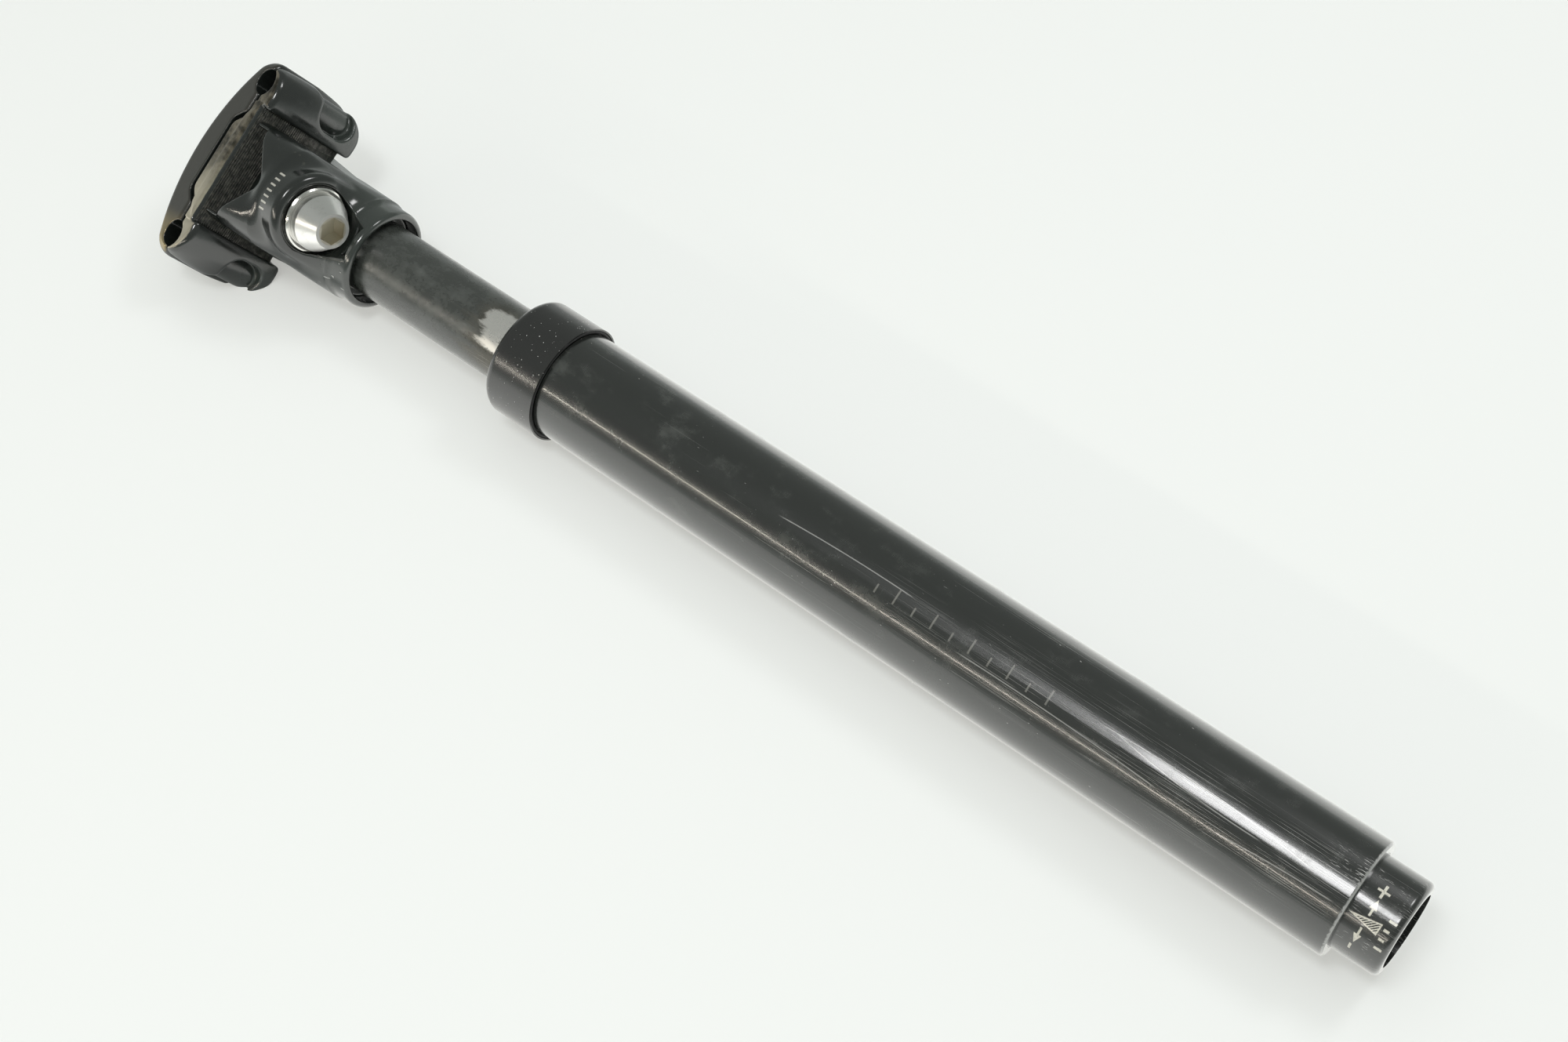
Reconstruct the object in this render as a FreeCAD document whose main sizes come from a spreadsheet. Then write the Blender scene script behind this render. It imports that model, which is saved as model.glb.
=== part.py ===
import FreeCAD, Part
import math
import os

import Sketcher

# Telescopic suspension seatpost.
# Frame: +Z along the post towards the saddle, +X towards the rear of the bicycle, +Y to the rider's right.
# The origin is on the post's axis, in the lower end face of the outer tube. Millimetres.

SIZES = {
    # outer tube and its collar
    "tube_radius": 13.6,
    "tube_bore_radius": 11.3,
    "tube_thread_radius": 13.05,
    "tube_shoulder_height": 213.5,
    "tube_top_height": 222.5,
    "tube_edge_chamfer": 0.5,
    "keyway_width": 3.3,
    "keyway_radius": 12.45,
    "keyway_base_height": 112.0,
    "collar_radius": 15.0,
    "collar_bore_radius": 13.1,
    "collar_height": 15.1,
    "collar_web_height": 10.4,
    "collar_mouth_radius": 10.3,
    "collar_round": 2.2,
    "ring_recess_radius": 14.6,
    "ring_recess_depth": 1.0,
    "ring_wire_radius": 0.5,
    "wiper_radius": 11.7,
    "wiper_bore_radius": 9.7,
    "wiper_thickness": 2.2,
    "bush_bore_radius": 9.72,
    "upper_bush_length": 28.0,
    "upper_bush_flange_radius": 12.8,
    "upper_bush_flange_thickness": 1.4,
    # sliding rod and what is on it
    "rod_radius": 9.65,
    "rod_bore_radius": 7.6,
    "rod_base_height": 139.0,
    "rod_bore_top_height": 262.0,
    "rod_shoulder_height": 281.0,
    "spigot_radius": 6.8,
    "spigot_top_height": 296.0,
    "clip_base_height": 139.7,
    "clip_thickness": 1.2,
    "clip_groove_radius": 8.9,
    "clip_radius": 10.6,
    "lower_bush_radius": 11.22,
    "lower_bush_base_height": 140.9,
    "lower_bush_length": 17.3,
    "key_width": 3.0,
    "key_length": 26.0,
    "key_base_height": 158.4,
    "key_inner_radius": 8.75,
    "key_outer_radius": 12.3,
    "top_bumper_radius": 11.0,
    "top_bumper_length": 9.8,
    # spring pack
    "seat_flange_radius": 10.4,
    "seat_flange_thickness": 3.5,
    "seat_spigot_radius": 7.5,
    "seat_spigot_length": 12.0,
    "guide_radius": 5.4,
    "guide_length": 37.0,
    "guide_tip_radius": 3.9,
    "spring_mean_radius": 8.6,
    "spring_wire_radius": 1.6,
    "spring_turns": 9.5,
    "cup_base_height": 22.1,
    "cup_thickness": 5.9,
    "cup_radius": 10.7,
    "cup_pip_radius": 3.0,
    "bumper_radius": 5.4,
    "bumper_length": 17.0,
    "bumper_waist_radius": 4.4,
    # preload adjuster
    "adjuster_skirt_radius": 10.97,
    "adjuster_skirt_length": 10.9,
    "adjuster_thread_radius": 11.22,
    "adjuster_thread_length": 22.0,
    "adjuster_edge_round": 1.4,
    "adjuster_bore_radius": 8.6,
    "adjuster_bore_depth": 13.0,
    "adjuster_key_flats": 12.0,
    "adjuster_key_depth": 11.0,
    # head, measured along the post
    "mouth_height": 276.6,
    "mouth_radius": 11.5,
    "mouth_depth": 4.4,
    "neck_radius": 13.0,
    "neck_round": 1.3,
    "neck_height": 9.0,
    # clamp bolt, whose axis leans rearwards and down from the clamp
    "bolt_lean": 20.0,
    "washer_seat_x": 16.0,
    "washer_seat_z": 289.8,
    "washer_radius": 8.2,
    "washer_thickness": 1.8,
    "washer_bore_radius": 4.3,
    "bolt_radius": 4.0,
    "bolt_length": 43.0,
    "bolt_head_radius": 7.1,
    "bolt_head_rim": 2.2,
    "bolt_head_height": 7.9,
    "bolt_nose_radius": 4.4,
    "bolt_key_flats": 6.0,
    "bolt_key_depth": 5.0,
    "bolt_hole_radius": 4.4,
    "recess_radius": 9.2,
    "recess_depth": 0.6,
    "recess_reach": 8.0,
    "boss_radius": 12.0,
    # saddle clamp, in its own frame: u to the rear along the rails, v sideways, w up
    "arc_distance": 22.3,
    "arc_radius": 30.0,
    "arc_gap": 0.3,
    "tooth_depth": 0.35,
    "tooth_pitch": 0.56,
    "cradle_front": 12.9,
    "cradle_rear": 12.6,
    "cradle_half_width": 14.3,
    "clamp_front": 14.8,
    "clamp_rear": 13.0,
    "clamp_half_width": 28.0,
    "arc_half_width": 16.7,
    "rail_spacing": 44.0,
    "rail_height": 7.3,
    "rail_groove_radius": 3.55,
    "lower_clamp_top": 6.9,
    "upper_clamp_base": 7.7,
    "upper_clamp_crown": 19.6,
    "upper_clamp_tip": 10.6,
    "clamp_front_half_width": 26.2,
    "rib_height": 10.8,
    "rib_half_width": 9.5,
    "rib_slope_width": 3.2,
    "slot_half_length": 9.4,
    "nut_seat_radius": 15.6,
    "nut_half_length": 6.5,
    "nut_half_width": 6.6,
    "nut_height": 6.3,
}

SHEET = "Sizes"
NODES = []

doc = FreeCAD.newDocument("suspension_seatpost")
sheet = doc.addObject("Spreadsheet::Sheet", SHEET)
for row, (alias, number) in enumerate(SIZES.items(), start=1):
    sheet.set("A%d" % row, alias)
    sheet.set("B%d" % row, str(number))
    sheet.setAlias("B%d" % row, alias)
doc.recompute()


def size(name):
    """A driving dimension, read from the sheet."""
    return float(sheet.get(name))


def terms(text):
    """Split a sum such as 'a + b - c' into (sign, word) pairs."""
    sign = 1.0
    found = []
    for word in text.split():
        if word == "+":
            sign = 1.0
        elif word == "-":
            sign = -1.0
        else:
            found.append((sign, word))
    return found


def number_of(text):
    total = 0.0
    for sign, word in terms(text):
        total += sign * (size(word) if word in SIZES else float(word))
    return total


def expression_of(text):
    words = ["%s.%s" % (SHEET, word) if word in SIZES else word for word in text.split()]
    return " ".join(words)


def origin_plane(body, role):
    for feature in body.Origin.OriginFeatures:
        if feature.Role == role:
            return feature
    raise ValueError(role)


def new_body(label):
    body = doc.addObject("PartDesign::Body", label)
    body.Label = label
    NODES.append(body)
    return body


def outline_sketch(body, name, role, corners):
    """A closed outline whose corners are sums of sheet sizes, each bound to the sheet."""
    sketch = body.newObject("Sketcher::SketchObject", name)
    sketch.AttachmentSupport = [(origin_plane(body, role), "")]
    sketch.MapMode = "FlatFace"
    points = [FreeCAD.Vector(number_of(across), number_of(up), 0) for across, up in corners]
    count = len(points)
    for index in range(count):
        sketch.addGeometry(Part.LineSegment(points[index], points[(index + 1) % count]), False)
    for index in range(count):
        following = (index + 1) % count
        sketch.addConstraint(Sketcher.Constraint("Coincident", index, 2, following, 1))
    for index, (across, up) in enumerate(corners):
        for kind, text, own_axis in (("DistanceX", across, -2), ("DistanceY", up, -1)):
            value = number_of(text)
            if value == 0.0:
                sketch.addConstraint(Sketcher.Constraint("PointOnObject", index, 1, own_axis))
                continue
            place = sketch.addConstraint(Sketcher.Constraint(kind, -1, 1, index, 1, value))
            sketch.setExpression("Constraints[%d]" % place, expression_of(text))
    sketch.Visibility = False
    return sketch


def turned_body(label, corners, base="0"):
    """A body turned about the post's axis from (radius, height) corners, standing at the height `base`."""
    body = new_body(label)
    sketch = outline_sketch(body, label + "_outline", "XZ_Plane", corners)
    turn = body.newObject("PartDesign::Revolution", label + "_turn")
    turn.Profile = sketch
    turn.ReferenceAxis = (sketch, ["V_Axis"])
    turn.Angle = 360.0
    body.Tip = turn
    if base != "0":
        body.setExpression("Placement.Base.z", expression_of(base))
    doc.recompute()
    return body


def ring_corners(inner, outer, height):
    return [(inner, "0"), (outer, "0"), (outer, height), (inner, height)]


def edge_names(shape, radius, height):
    """Names of the round edges of one radius at one height."""
    names = []
    for number, edge in enumerate(shape.Edges, start=1):
        curve = edge.Curve
        if not isinstance(curve, Part.Circle):
            continue
        if abs(curve.Radius - radius) < 1e-4 and abs(curve.Center.z - height) < 1e-4:
            names.append("Edge%d" % number)
    return names


def dress(body, kind, amount, radius, height):
    """Fillet or chamfer the round edges found at a radius and a height of the body's own frame."""
    base = body.Tip
    names = edge_names(base.Shape, number_of(radius), number_of(height))
    if not names:
        raise ValueError("no edge to dress on " + body.Label)
    feature = body.newObject("PartDesign::" + kind, "%s_%s" % (body.Label, kind.lower()))
    feature.Base = (base, names)
    cell = "Radius" if kind == "Fillet" else "Size"
    feature.setExpression(cell, expression_of(amount))
    body.Tip = feature
    doc.recompute()


def three_round(body, feature):
    """Repeat a feature three times about the post's axis."""
    pattern = body.newObject("PartDesign::PolarPattern", feature.Label + "_round")
    pattern.Originals = [feature]
    pattern.Axis = (origin_plane(body, "Z_Axis"), [""])
    pattern.Angle = 360.0
    pattern.Occurrences = 3
    body.Tip = pattern
    doc.recompute()


def slot_pocket(body, name, width, near, far, base, length):
    """Cut a straight slot upwards from the height `base`, between two radii, and repeat it three times."""
    before = body.Shape.Volume
    half = number_of(width) / 2.0
    sketch = body.newObject("Sketcher::SketchObject", name + "_outline")
    sketch.AttachmentSupport = [(origin_plane(body, "XY_Plane"), "")]
    sketch.MapMode = "FlatFace"
    sketch.AttachmentOffset = FreeCAD.Placement(FreeCAD.Vector(0, 0, number_of(base)), FreeCAD.Rotation())
    sketch.setExpression("AttachmentOffset.Base.z", expression_of(base))
    spots = [(number_of(near), -half), (number_of(far), -half), (number_of(far), half), (number_of(near), half)]
    for index in range(4):
        start = FreeCAD.Vector(*spots[index], 0)
        end = FreeCAD.Vector(*spots[(index + 1) % 4], 0)
        sketch.addGeometry(Part.LineSegment(start, end), False)
    for index in range(4):
        sketch.addConstraint(Sketcher.Constraint("Coincident", index, 2, (index + 1) % 4, 1))
    for index in (0, 2):
        sketch.addConstraint(Sketcher.Constraint("Horizontal", index))
    sketch.addConstraint(Sketcher.Constraint("Vertical", 3))
    sketch.addConstraint(Sketcher.Constraint("Symmetric", 1, 1, 1, 2, -1))
    bound = (("DistanceX", 0, 1, near), ("DistanceX", 1, 1, far))
    for kind, line, end, text in bound:
        place = sketch.addConstraint(Sketcher.Constraint(kind, -1, 1, line, end, number_of(text)))
        sketch.setExpression("Constraints[%d]" % place, expression_of(text))
    place = sketch.addConstraint(Sketcher.Constraint("DistanceY", 1, 1, 1, 2, 2.0 * half))
    sketch.setExpression("Constraints[%d]" % place, expression_of(width))
    sketch.Visibility = False
    doc.recompute()
    pocket = body.newObject("PartDesign::Pocket", name)
    pocket.Profile = sketch
    pocket.Reversed = True
    pocket.setExpression("Length", expression_of(length))
    body.Tip = pocket
    doc.recompute()
    three_round(body, pocket)
    if body.Shape.Volume > before - 1.0:
        raise ValueError(name + " cut nothing")


def hex_pocket(body, name, flats, depth, base="0"):
    """Cut a hexagonal key socket upwards from the height `base`."""
    before = body.Shape.Volume
    sketch = body.newObject("Sketcher::SketchObject", name + "_outline")
    sketch.AttachmentSupport = [(origin_plane(body, "XY_Plane"), "")]
    sketch.MapMode = "FlatFace"
    if base != "0":
        sketch.setExpression("AttachmentOffset.Base.z", expression_of(base))
    corner_radius = number_of(flats) / math.sqrt(3.0)
    spots = []
    for turn in range(6):
        angle = math.radians(60.0 * turn)
        spots.append(FreeCAD.Vector(corner_radius * math.cos(angle), corner_radius * math.sin(angle), 0))
    for turn in range(6):
        sketch.addGeometry(Part.LineSegment(spots[turn], spots[(turn + 1) % 6]), False)
    guide = Part.Circle(FreeCAD.Vector(0, 0, 0), FreeCAD.Vector(0, 0, 1), corner_radius)
    circle = sketch.addGeometry(guide, True)
    sketch.addConstraint(Sketcher.Constraint("Coincident", circle, 3, -1, 1))
    for turn in range(6):
        sketch.addConstraint(Sketcher.Constraint("Coincident", turn, 2, (turn + 1) % 6, 1))
        sketch.addConstraint(Sketcher.Constraint("PointOnObject", turn, 1, circle))
    for turn in range(1, 6):
        sketch.addConstraint(Sketcher.Constraint("Equal", 0, turn))
    sketch.addConstraint(Sketcher.Constraint("PointOnObject", 0, 1, -1))
    place = sketch.addConstraint(Sketcher.Constraint("Radius", circle, corner_radius))
    sketch.setExpression("Constraints[%d]" % place, "%s.%s / sqrt(3)" % (SHEET, flats))
    sketch.Visibility = False
    doc.recompute()
    pocket = body.newObject("PartDesign::Pocket", name)
    pocket.Profile = sketch
    pocket.Reversed = True
    pocket.setExpression("Length", expression_of(depth))
    body.Tip = pocket
    doc.recompute()
    if body.Shape.Volume > before - 1.0:
        raise ValueError(name + " cut nothing")


def feature(label, shape, placement=None):
    """A sub-part whose shape is worked out here from the sheet."""
    item = doc.addObject("Part::Feature", label)
    item.Label = label
    item.Shape = shape
    if placement is not None:
        item.Placement = placement
    NODES.append(item)
    return item


# ---------------------------------------------------------------- outer tube and collar


def make_outer_tube():
    tube = turned_body("outer_tube", [
        ("tube_bore_radius", "0"),
        ("tube_radius", "0"),
        ("tube_radius", "tube_shoulder_height"),
        ("tube_thread_radius", "tube_shoulder_height"),
        ("tube_thread_radius", "tube_top_height"),
        ("tube_bore_radius", "tube_top_height"),
    ])
    dress(tube, "Chamfer", "tube_edge_chamfer", "tube_radius", "0")
    slot_pocket(tube, "keyway", "keyway_width", "bush_bore_radius", "keyway_radius",
                "keyway_base_height", "tube_top_height - keyway_base_height - upper_bush_length")


def make_collar():
    collar = turned_body("collar_nut", [
        ("ring_recess_radius", "0"),
        ("collar_radius", "0"),
        ("collar_radius", "collar_height"),
        ("wiper_radius", "collar_height"),
        ("wiper_radius", "collar_height - wiper_thickness"),
        ("collar_mouth_radius", "collar_height - wiper_thickness"),
        ("collar_mouth_radius", "collar_web_height"),
        ("collar_bore_radius", "collar_web_height"),
        ("collar_bore_radius", "ring_recess_depth"),
        ("ring_recess_radius", "ring_recess_depth"),
    ], "tube_shoulder_height")
    dress(collar, "Fillet", "collar_round", "collar_radius", "collar_height")
    turned_body("wiper_seal", [
        ("wiper_bore_radius", "0"),
        ("wiper_radius", "0"),
        ("wiper_radius", "wiper_thickness"),
        ("wiper_bore_radius + 0.9", "wiper_thickness"),
        ("wiper_bore_radius + 0.4", "wiper_thickness + 0.8"),
        ("wiper_bore_radius", "wiper_thickness + 0.8"),
    ], "tube_shoulder_height + collar_height - wiper_thickness")
    ring = doc.addObject("Part::Torus", "collar_o_ring")
    ring.Label = "collar_o_ring"
    ring.setExpression("Radius1", expression_of("ring_recess_radius - ring_wire_radius"))
    ring.setExpression("Radius2", expression_of("ring_wire_radius"))
    ring.setExpression("Placement.Base.z", expression_of("tube_shoulder_height + ring_wire_radius"))
    NODES.append(ring)


def make_upper_bushing():
    turned_body("upper_bushing", [
        ("bush_bore_radius", "0"),
        ("tube_bore_radius", "0"),
        ("tube_bore_radius", "upper_bush_length"),
        ("upper_bush_flange_radius", "upper_bush_length"),
        ("upper_bush_flange_radius", "upper_bush_length + upper_bush_flange_thickness"),
        ("bush_bore_radius", "upper_bush_length + upper_bush_flange_thickness"),
    ], "tube_top_height - upper_bush_length")


# ---------------------------------------------------------------- sliding rod


def make_inner_rod():
    rod = turned_body("inner_rod", [
        ("rod_bore_radius", "0"),
        ("rod_radius", "0"),
        ("rod_radius", "clip_base_height - rod_base_height"),
        ("clip_groove_radius", "clip_base_height - rod_base_height"),
        ("clip_groove_radius", "clip_base_height + clip_thickness - rod_base_height"),
        ("rod_radius", "clip_base_height + clip_thickness - rod_base_height"),
        ("rod_radius", "rod_shoulder_height - rod_base_height"),
        ("spigot_radius", "rod_shoulder_height - rod_base_height"),
        ("spigot_radius", "spigot_top_height - rod_base_height"),
        ("0", "spigot_top_height - rod_base_height"),
        ("0", "rod_bore_top_height - rod_base_height"),
        ("rod_bore_radius", "rod_bore_top_height - rod_base_height"),
    ], "rod_base_height")
    slot_pocket(rod, "key_seat", "key_width", "key_inner_radius", "key_outer_radius",
                "key_base_height - rod_base_height", "key_length")


def make_rod_keys():
    keys = []
    for number in range(3):
        key = doc.addObject("Part::Box", "key_%d" % (number + 1))
        key.setExpression("Length", expression_of("key_outer_radius - key_inner_radius"))
        key.setExpression("Width", expression_of("key_width"))
        key.setExpression("Height", expression_of("key_length"))
        angle = 120.0 * number
        turn = FreeCAD.Rotation(FreeCAD.Vector(0, 0, 1), angle)
        corner = FreeCAD.Vector(size("key_inner_radius"), -size("key_width") / 2.0, size("key_base_height"))
        key.Placement = FreeCAD.Placement(turn.multVec(corner), turn)
        keys.append(key)
    group = doc.addObject("Part::Compound", "rod_keys")
    group.Label = "rod_keys"
    group.Links = keys
    NODES.append(group)


def make_rod_rings():
    turned_body("lower_bushing", ring_corners("rod_radius", "lower_bush_radius", "lower_bush_length"),
                "lower_bush_base_height")
    turned_body("top_out_bumper", ring_corners("rod_radius", "top_bumper_radius", "top_bumper_length"),
                "key_base_height + key_length")
    clip = turned_body("rod_circlip", ring_corners("clip_groove_radius", "clip_radius", "clip_thickness"),
                       "clip_base_height")
    sketch = outline_sketch(clip, "clip_gap_outline", "XY_Plane",
                            [("5", "0 - 2"), ("clip_radius + 2", "0 - 2"), ("clip_radius + 2", "2"), ("5", "2")])
    gap = clip.newObject("PartDesign::Pocket", "clip_gap")
    gap.Profile = sketch
    gap.Reversed = True
    gap.setExpression("Length", expression_of("clip_thickness"))
    clip.Tip = gap
    doc.recompute()


# ---------------------------------------------------------------- spring pack


def make_spring_pack():
    turned_body("spring_upper_seat", [
        ("0", "0"),
        ("seat_flange_radius", "0"),
        ("seat_flange_radius", "seat_flange_thickness"),
        ("seat_spigot_radius", "seat_flange_thickness"),
        ("seat_spigot_radius", "seat_flange_thickness + seat_spigot_length - 1"),
        ("seat_spigot_radius - 1", "seat_flange_thickness + seat_spigot_length"),
        ("0", "seat_flange_thickness + seat_spigot_length"),
    ], "rod_base_height - seat_flange_thickness")
    turned_body("spring_guide", [
        ("0", "0"),
        ("guide_tip_radius", "0"),
        ("guide_radius", "4"),
        ("guide_radius", "guide_length"),
        ("0", "guide_length"),
    ], "rod_base_height - seat_flange_thickness - guide_length")
    turned_body("spring_lower_seat", [
        ("0", "0"),
        ("cup_radius", "0"),
        ("cup_radius", "cup_thickness"),
        ("0", "cup_thickness"),
    ], "cup_base_height")
    turned_body("bottom_out_bumper", [
        ("0", "0"),
        ("bumper_radius", "0"),
        ("bumper_radius", "4"),
        ("bumper_waist_radius", "6"),
        ("bumper_waist_radius", "bumper_length - 6"),
        ("bumper_radius", "bumper_length - 4"),
        ("bumper_radius - 1", "bumper_length"),
        ("0", "bumper_length"),
    ], "cup_base_height + cup_thickness")


def make_main_spring():
    wire = size("spring_wire_radius")
    mean = size("spring_mean_radius")
    low = number_of("cup_base_height + cup_thickness + spring_wire_radius")
    high = number_of("rod_base_height - seat_flange_thickness - spring_wire_radius")
    pitch = (high - low) / size("spring_turns")
    path = Part.makeHelix(pitch, high - low, mean)
    section = Part.Wire(Part.makeCircle(wire, FreeCAD.Vector(mean, 0, 0), FreeCAD.Vector(0, 1, 0)))
    coil = Part.Wire(path.Edges).makePipeShell([section], True, True)
    coil.translate(FreeCAD.Vector(0, 0, low))
    feature("main_spring", coil)


def make_preload_adjuster():
    adjuster = turned_body("preload_adjuster", [
        ("adjuster_bore_radius", "0"),
        ("adjuster_skirt_radius", "0"),
        ("adjuster_skirt_radius", "adjuster_skirt_length"),
        ("adjuster_thread_radius", "adjuster_skirt_length"),
        ("adjuster_thread_radius", "adjuster_skirt_length + adjuster_thread_length"),
        ("0", "adjuster_skirt_length + adjuster_thread_length"),
        ("0", "adjuster_bore_depth"),
        ("adjuster_bore_radius", "adjuster_bore_depth"),
    ], "0 - adjuster_skirt_length")
    dress(adjuster, "Fillet", "adjuster_edge_round", "adjuster_skirt_radius", "0")
    hex_pocket(adjuster, "adjuster_key", "adjuster_key_flats", "adjuster_key_depth", "adjuster_bore_depth")


# ---------------------------------------------------------------- bolt and washer


def bolt_frame(distance=0.0):
    """Placement whose +Z runs up the bolt's axis, `distance` above the washer's seat."""
    turn = FreeCAD.Rotation(FreeCAD.Vector(0, 1, 0), -size("bolt_lean"))
    seat = FreeCAD.Vector(size("washer_seat_x"), 0, size("washer_seat_z"))
    return FreeCAD.Placement(seat + turn.multVec(FreeCAD.Vector(0, 0, distance)), turn)


def make_bolt():
    bolt = turned_body("clamp_bolt", [
        ("0", "0"),
        ("bolt_nose_radius", "0"),
        ("bolt_head_radius", "bolt_head_height - bolt_head_rim"),
        ("bolt_head_radius", "bolt_head_height"),
        ("bolt_radius", "bolt_head_height"),
        ("bolt_radius", "bolt_head_height + bolt_length - 1"),
        ("bolt_radius - 1", "bolt_head_height + bolt_length"),
        ("0", "bolt_head_height + bolt_length"),
    ])
    hex_pocket(bolt, "bolt_key", "bolt_key_flats", "bolt_key_depth")
    bolt.Placement = bolt_frame(-size("washer_thickness") - size("bolt_head_height") - 0.05)
    washer = turned_body("bolt_washer", [
        ("washer_bore_radius", "0"),
        ("washer_radius - 0.4", "0"),
        ("washer_radius", "0.4"),
        ("washer_radius", "washer_thickness"),
        ("washer_bore_radius", "washer_thickness"),
    ])
    washer.Placement = bolt_frame(-size("washer_thickness"))
    doc.recompute()


# ---------------------------------------------------------------- saddle clamp


def clamp_frame():
    """Placement of the clamp's own frame: its origin is the lowest point of the toothed arc."""
    return bolt_frame(size("arc_distance"))


def vector(u, v, w):
    return FreeCAD.Vector(u, v, w)


def toothed_arc_block(radius, front, rear, half_width, top):
    """A block with a toothed, convex underside: teeth run across, on an arc centred above it."""
    centre = size("arc_radius")
    step = size("tooth_pitch") / radius
    low = -math.asin(front / radius)
    high = math.asin(rear / radius)
    count = int((high - low) / step)
    corners = [vector(-front, -half_width, top)]
    for tooth in range(count + 1):
        angle = low + step * tooth
        for turn, reach in ((angle, radius - size("tooth_depth")), (angle + step / 2.0, radius)):
            if turn <= high:
                corners.append(vector(reach * math.sin(turn), -half_width, centre - reach * math.cos(turn)))
    corners.append(vector(rear, -half_width, top))
    corners.append(corners[0])
    face = Part.Face(Part.makePolygon(corners))
    return face.extrude(vector(0, 2.0 * half_width, 0))


def rounded_block(u_low, u_high, v_low, v_high, w_low, w_high, radius):
    """A block with the edges along w rounded."""
    block = Part.makeBox(u_high - u_low, v_high - v_low, w_high - w_low, vector(u_low, v_low, w_low))
    upright = [edge for edge in block.Edges if abs(edge.tangentAt(edge.FirstParameter).z) > 0.99]
    return block.makeFillet(radius, upright)


def clamp_plan(front, rear, corner):
    """A tall block with the clamp's outline seen from above: straight at the rear, tapered at the front."""
    wide = size("clamp_half_width")
    narrow = size("clamp_front_half_width")
    knee = -1.4
    corners = [vector(-front, -narrow, -6), vector(knee, -wide, -6), vector(rear, -wide, -6),
               vector(rear, wide, -6), vector(knee, wide, -6), vector(-front, narrow, -6)]
    corners.append(corners[0])
    block = Part.Face(Part.makePolygon(corners)).extrude(vector(0, 0, 50))
    upright = [edge for edge in block.Edges if abs(edge.tangentAt(edge.FirstParameter).z) > 0.99
               and abs(edge.Vertexes[0].X - knee) > 1.0]
    return block.makeFillet(corner, upright)


def rib_block(clearance):
    """The raised rib along the middle of the lower clamp, or the hollow for it in the upper clamp."""
    low = size("lower_clamp_top") - 1.0
    high = size("rib_height") + clearance
    inner = size("rib_half_width") + clearance
    outer = inner + size("rib_slope_width")
    corners = [vector(0, -outer, low), vector(0, -inner, high), vector(0, inner, high), vector(0, outer, low)]
    corners.append(corners[0])
    length = size("cradle_front") + size("cradle_rear")
    rib = Part.Face(Part.makePolygon(corners)).extrude(vector(length + 8.0 * clearance, 0, 0))
    rib.translate(vector(-size("cradle_front") - 4.0 * clearance, 0, 0))
    return rib


def bolt_slot(half_length, low, high):
    radius = size("bolt_hole_radius")
    half = half_length - radius
    slot = Part.makeBox(2.0 * half, 2.0 * radius, high - low, vector(-half, -radius, low))
    for side in (-1, 1):
        slot = slot.fuse(Part.makeCylinder(radius, high - low, vector(side * half, 0, low)))
    return slot


def rail_grooves():
    grooves = []
    for side in (-1, 1):
        start = vector(-30, side * size("rail_spacing") / 2.0, size("rail_height"))
        grooves.append(Part.makeCylinder(size("rail_groove_radius"), 60, start, vector(1, 0, 0)))
    return grooves[0].fuse(grooves[1])


def side_block(side):
    """The trough under one saddle rail: a rounded underside, drawn across the clamp and run along it."""
    inner = size("arc_half_width") - 0.4
    outer = size("clamp_half_width")
    top = size("lower_clamp_top")
    low = -0.6
    a = vector(0, inner, top)
    b = vector(0, inner, low)
    c = vector(0, inner + 3.2, low)
    d = vector(0, outer, 4.2)
    e = vector(0, outer, top)
    bulge = vector(0, outer - 2.6, 0.9)
    wire = Part.Wire([
        Part.LineSegment(a, b).toShape(),
        Part.LineSegment(b, c).toShape(),
        Part.Arc(c, bulge, d).toShape(),
        Part.LineSegment(d, e).toShape(),
        Part.LineSegment(e, a).toShape(),
    ])
    length = size("clamp_front") + size("clamp_rear")
    block = Part.Face(wire).extrude(vector(length, 0, 0))
    block.translate(vector(-size("clamp_front"), 0, 0))
    if side < 0:
        block = block.mirror(vector(0, 0, 0), vector(0, 1, 0))
    return block


def window_cut(side):
    """The opening in the outer wall of a rail trough, towards its front end."""
    outer = size("clamp_half_width")
    cut = rounded_block(-10.6, -1.4, 19.6, outer + 4, -6, 12, 2.6)
    if side < 0:
        cut = cut.mirror(vector(0, 0, 0), vector(0, 1, 0))
    return cut


def make_lower_clamp():
    radius = size("arc_radius") - size("arc_gap")
    body = toothed_arc_block(radius, size("cradle_front"), size("cradle_rear") + 0.3,
                             size("arc_half_width"), size("lower_clamp_top"))
    body = body.fuse(rib_block(0.0))
    for side in (-1, 1):
        body = body.fuse(side_block(side))
    body = body.common(clamp_plan(size("clamp_front"), size("clamp_rear"), 4.0))
    for side in (-1, 1):
        body = body.cut(window_cut(side))
    body = body.cut(rail_grooves())
    body = body.cut(bolt_slot(size("slot_half_length"), -3, 20))
    feature("lower_clamp", body.removeSplitter(), clamp_frame())


def crescent_face(u):
    """Section of the upper clamp across the post: flat below, arched above."""
    half = size("clamp_half_width")
    base = size("upper_clamp_base")
    tip = size("upper_clamp_tip")
    crown = size("upper_clamp_crown")
    a = vector(u, -half, base)
    b = vector(u, -half, tip)
    top = vector(u, 0, crown)
    c = vector(u, half, tip)
    d = vector(u, half, base)
    wire = Part.Wire([
        Part.LineSegment(a, b).toShape(),
        Part.Arc(b, top, c).toShape(),
        Part.LineSegment(c, d).toShape(),
        Part.LineSegment(d, a).toShape(),
    ])
    return Part.Face(wire)


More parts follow.
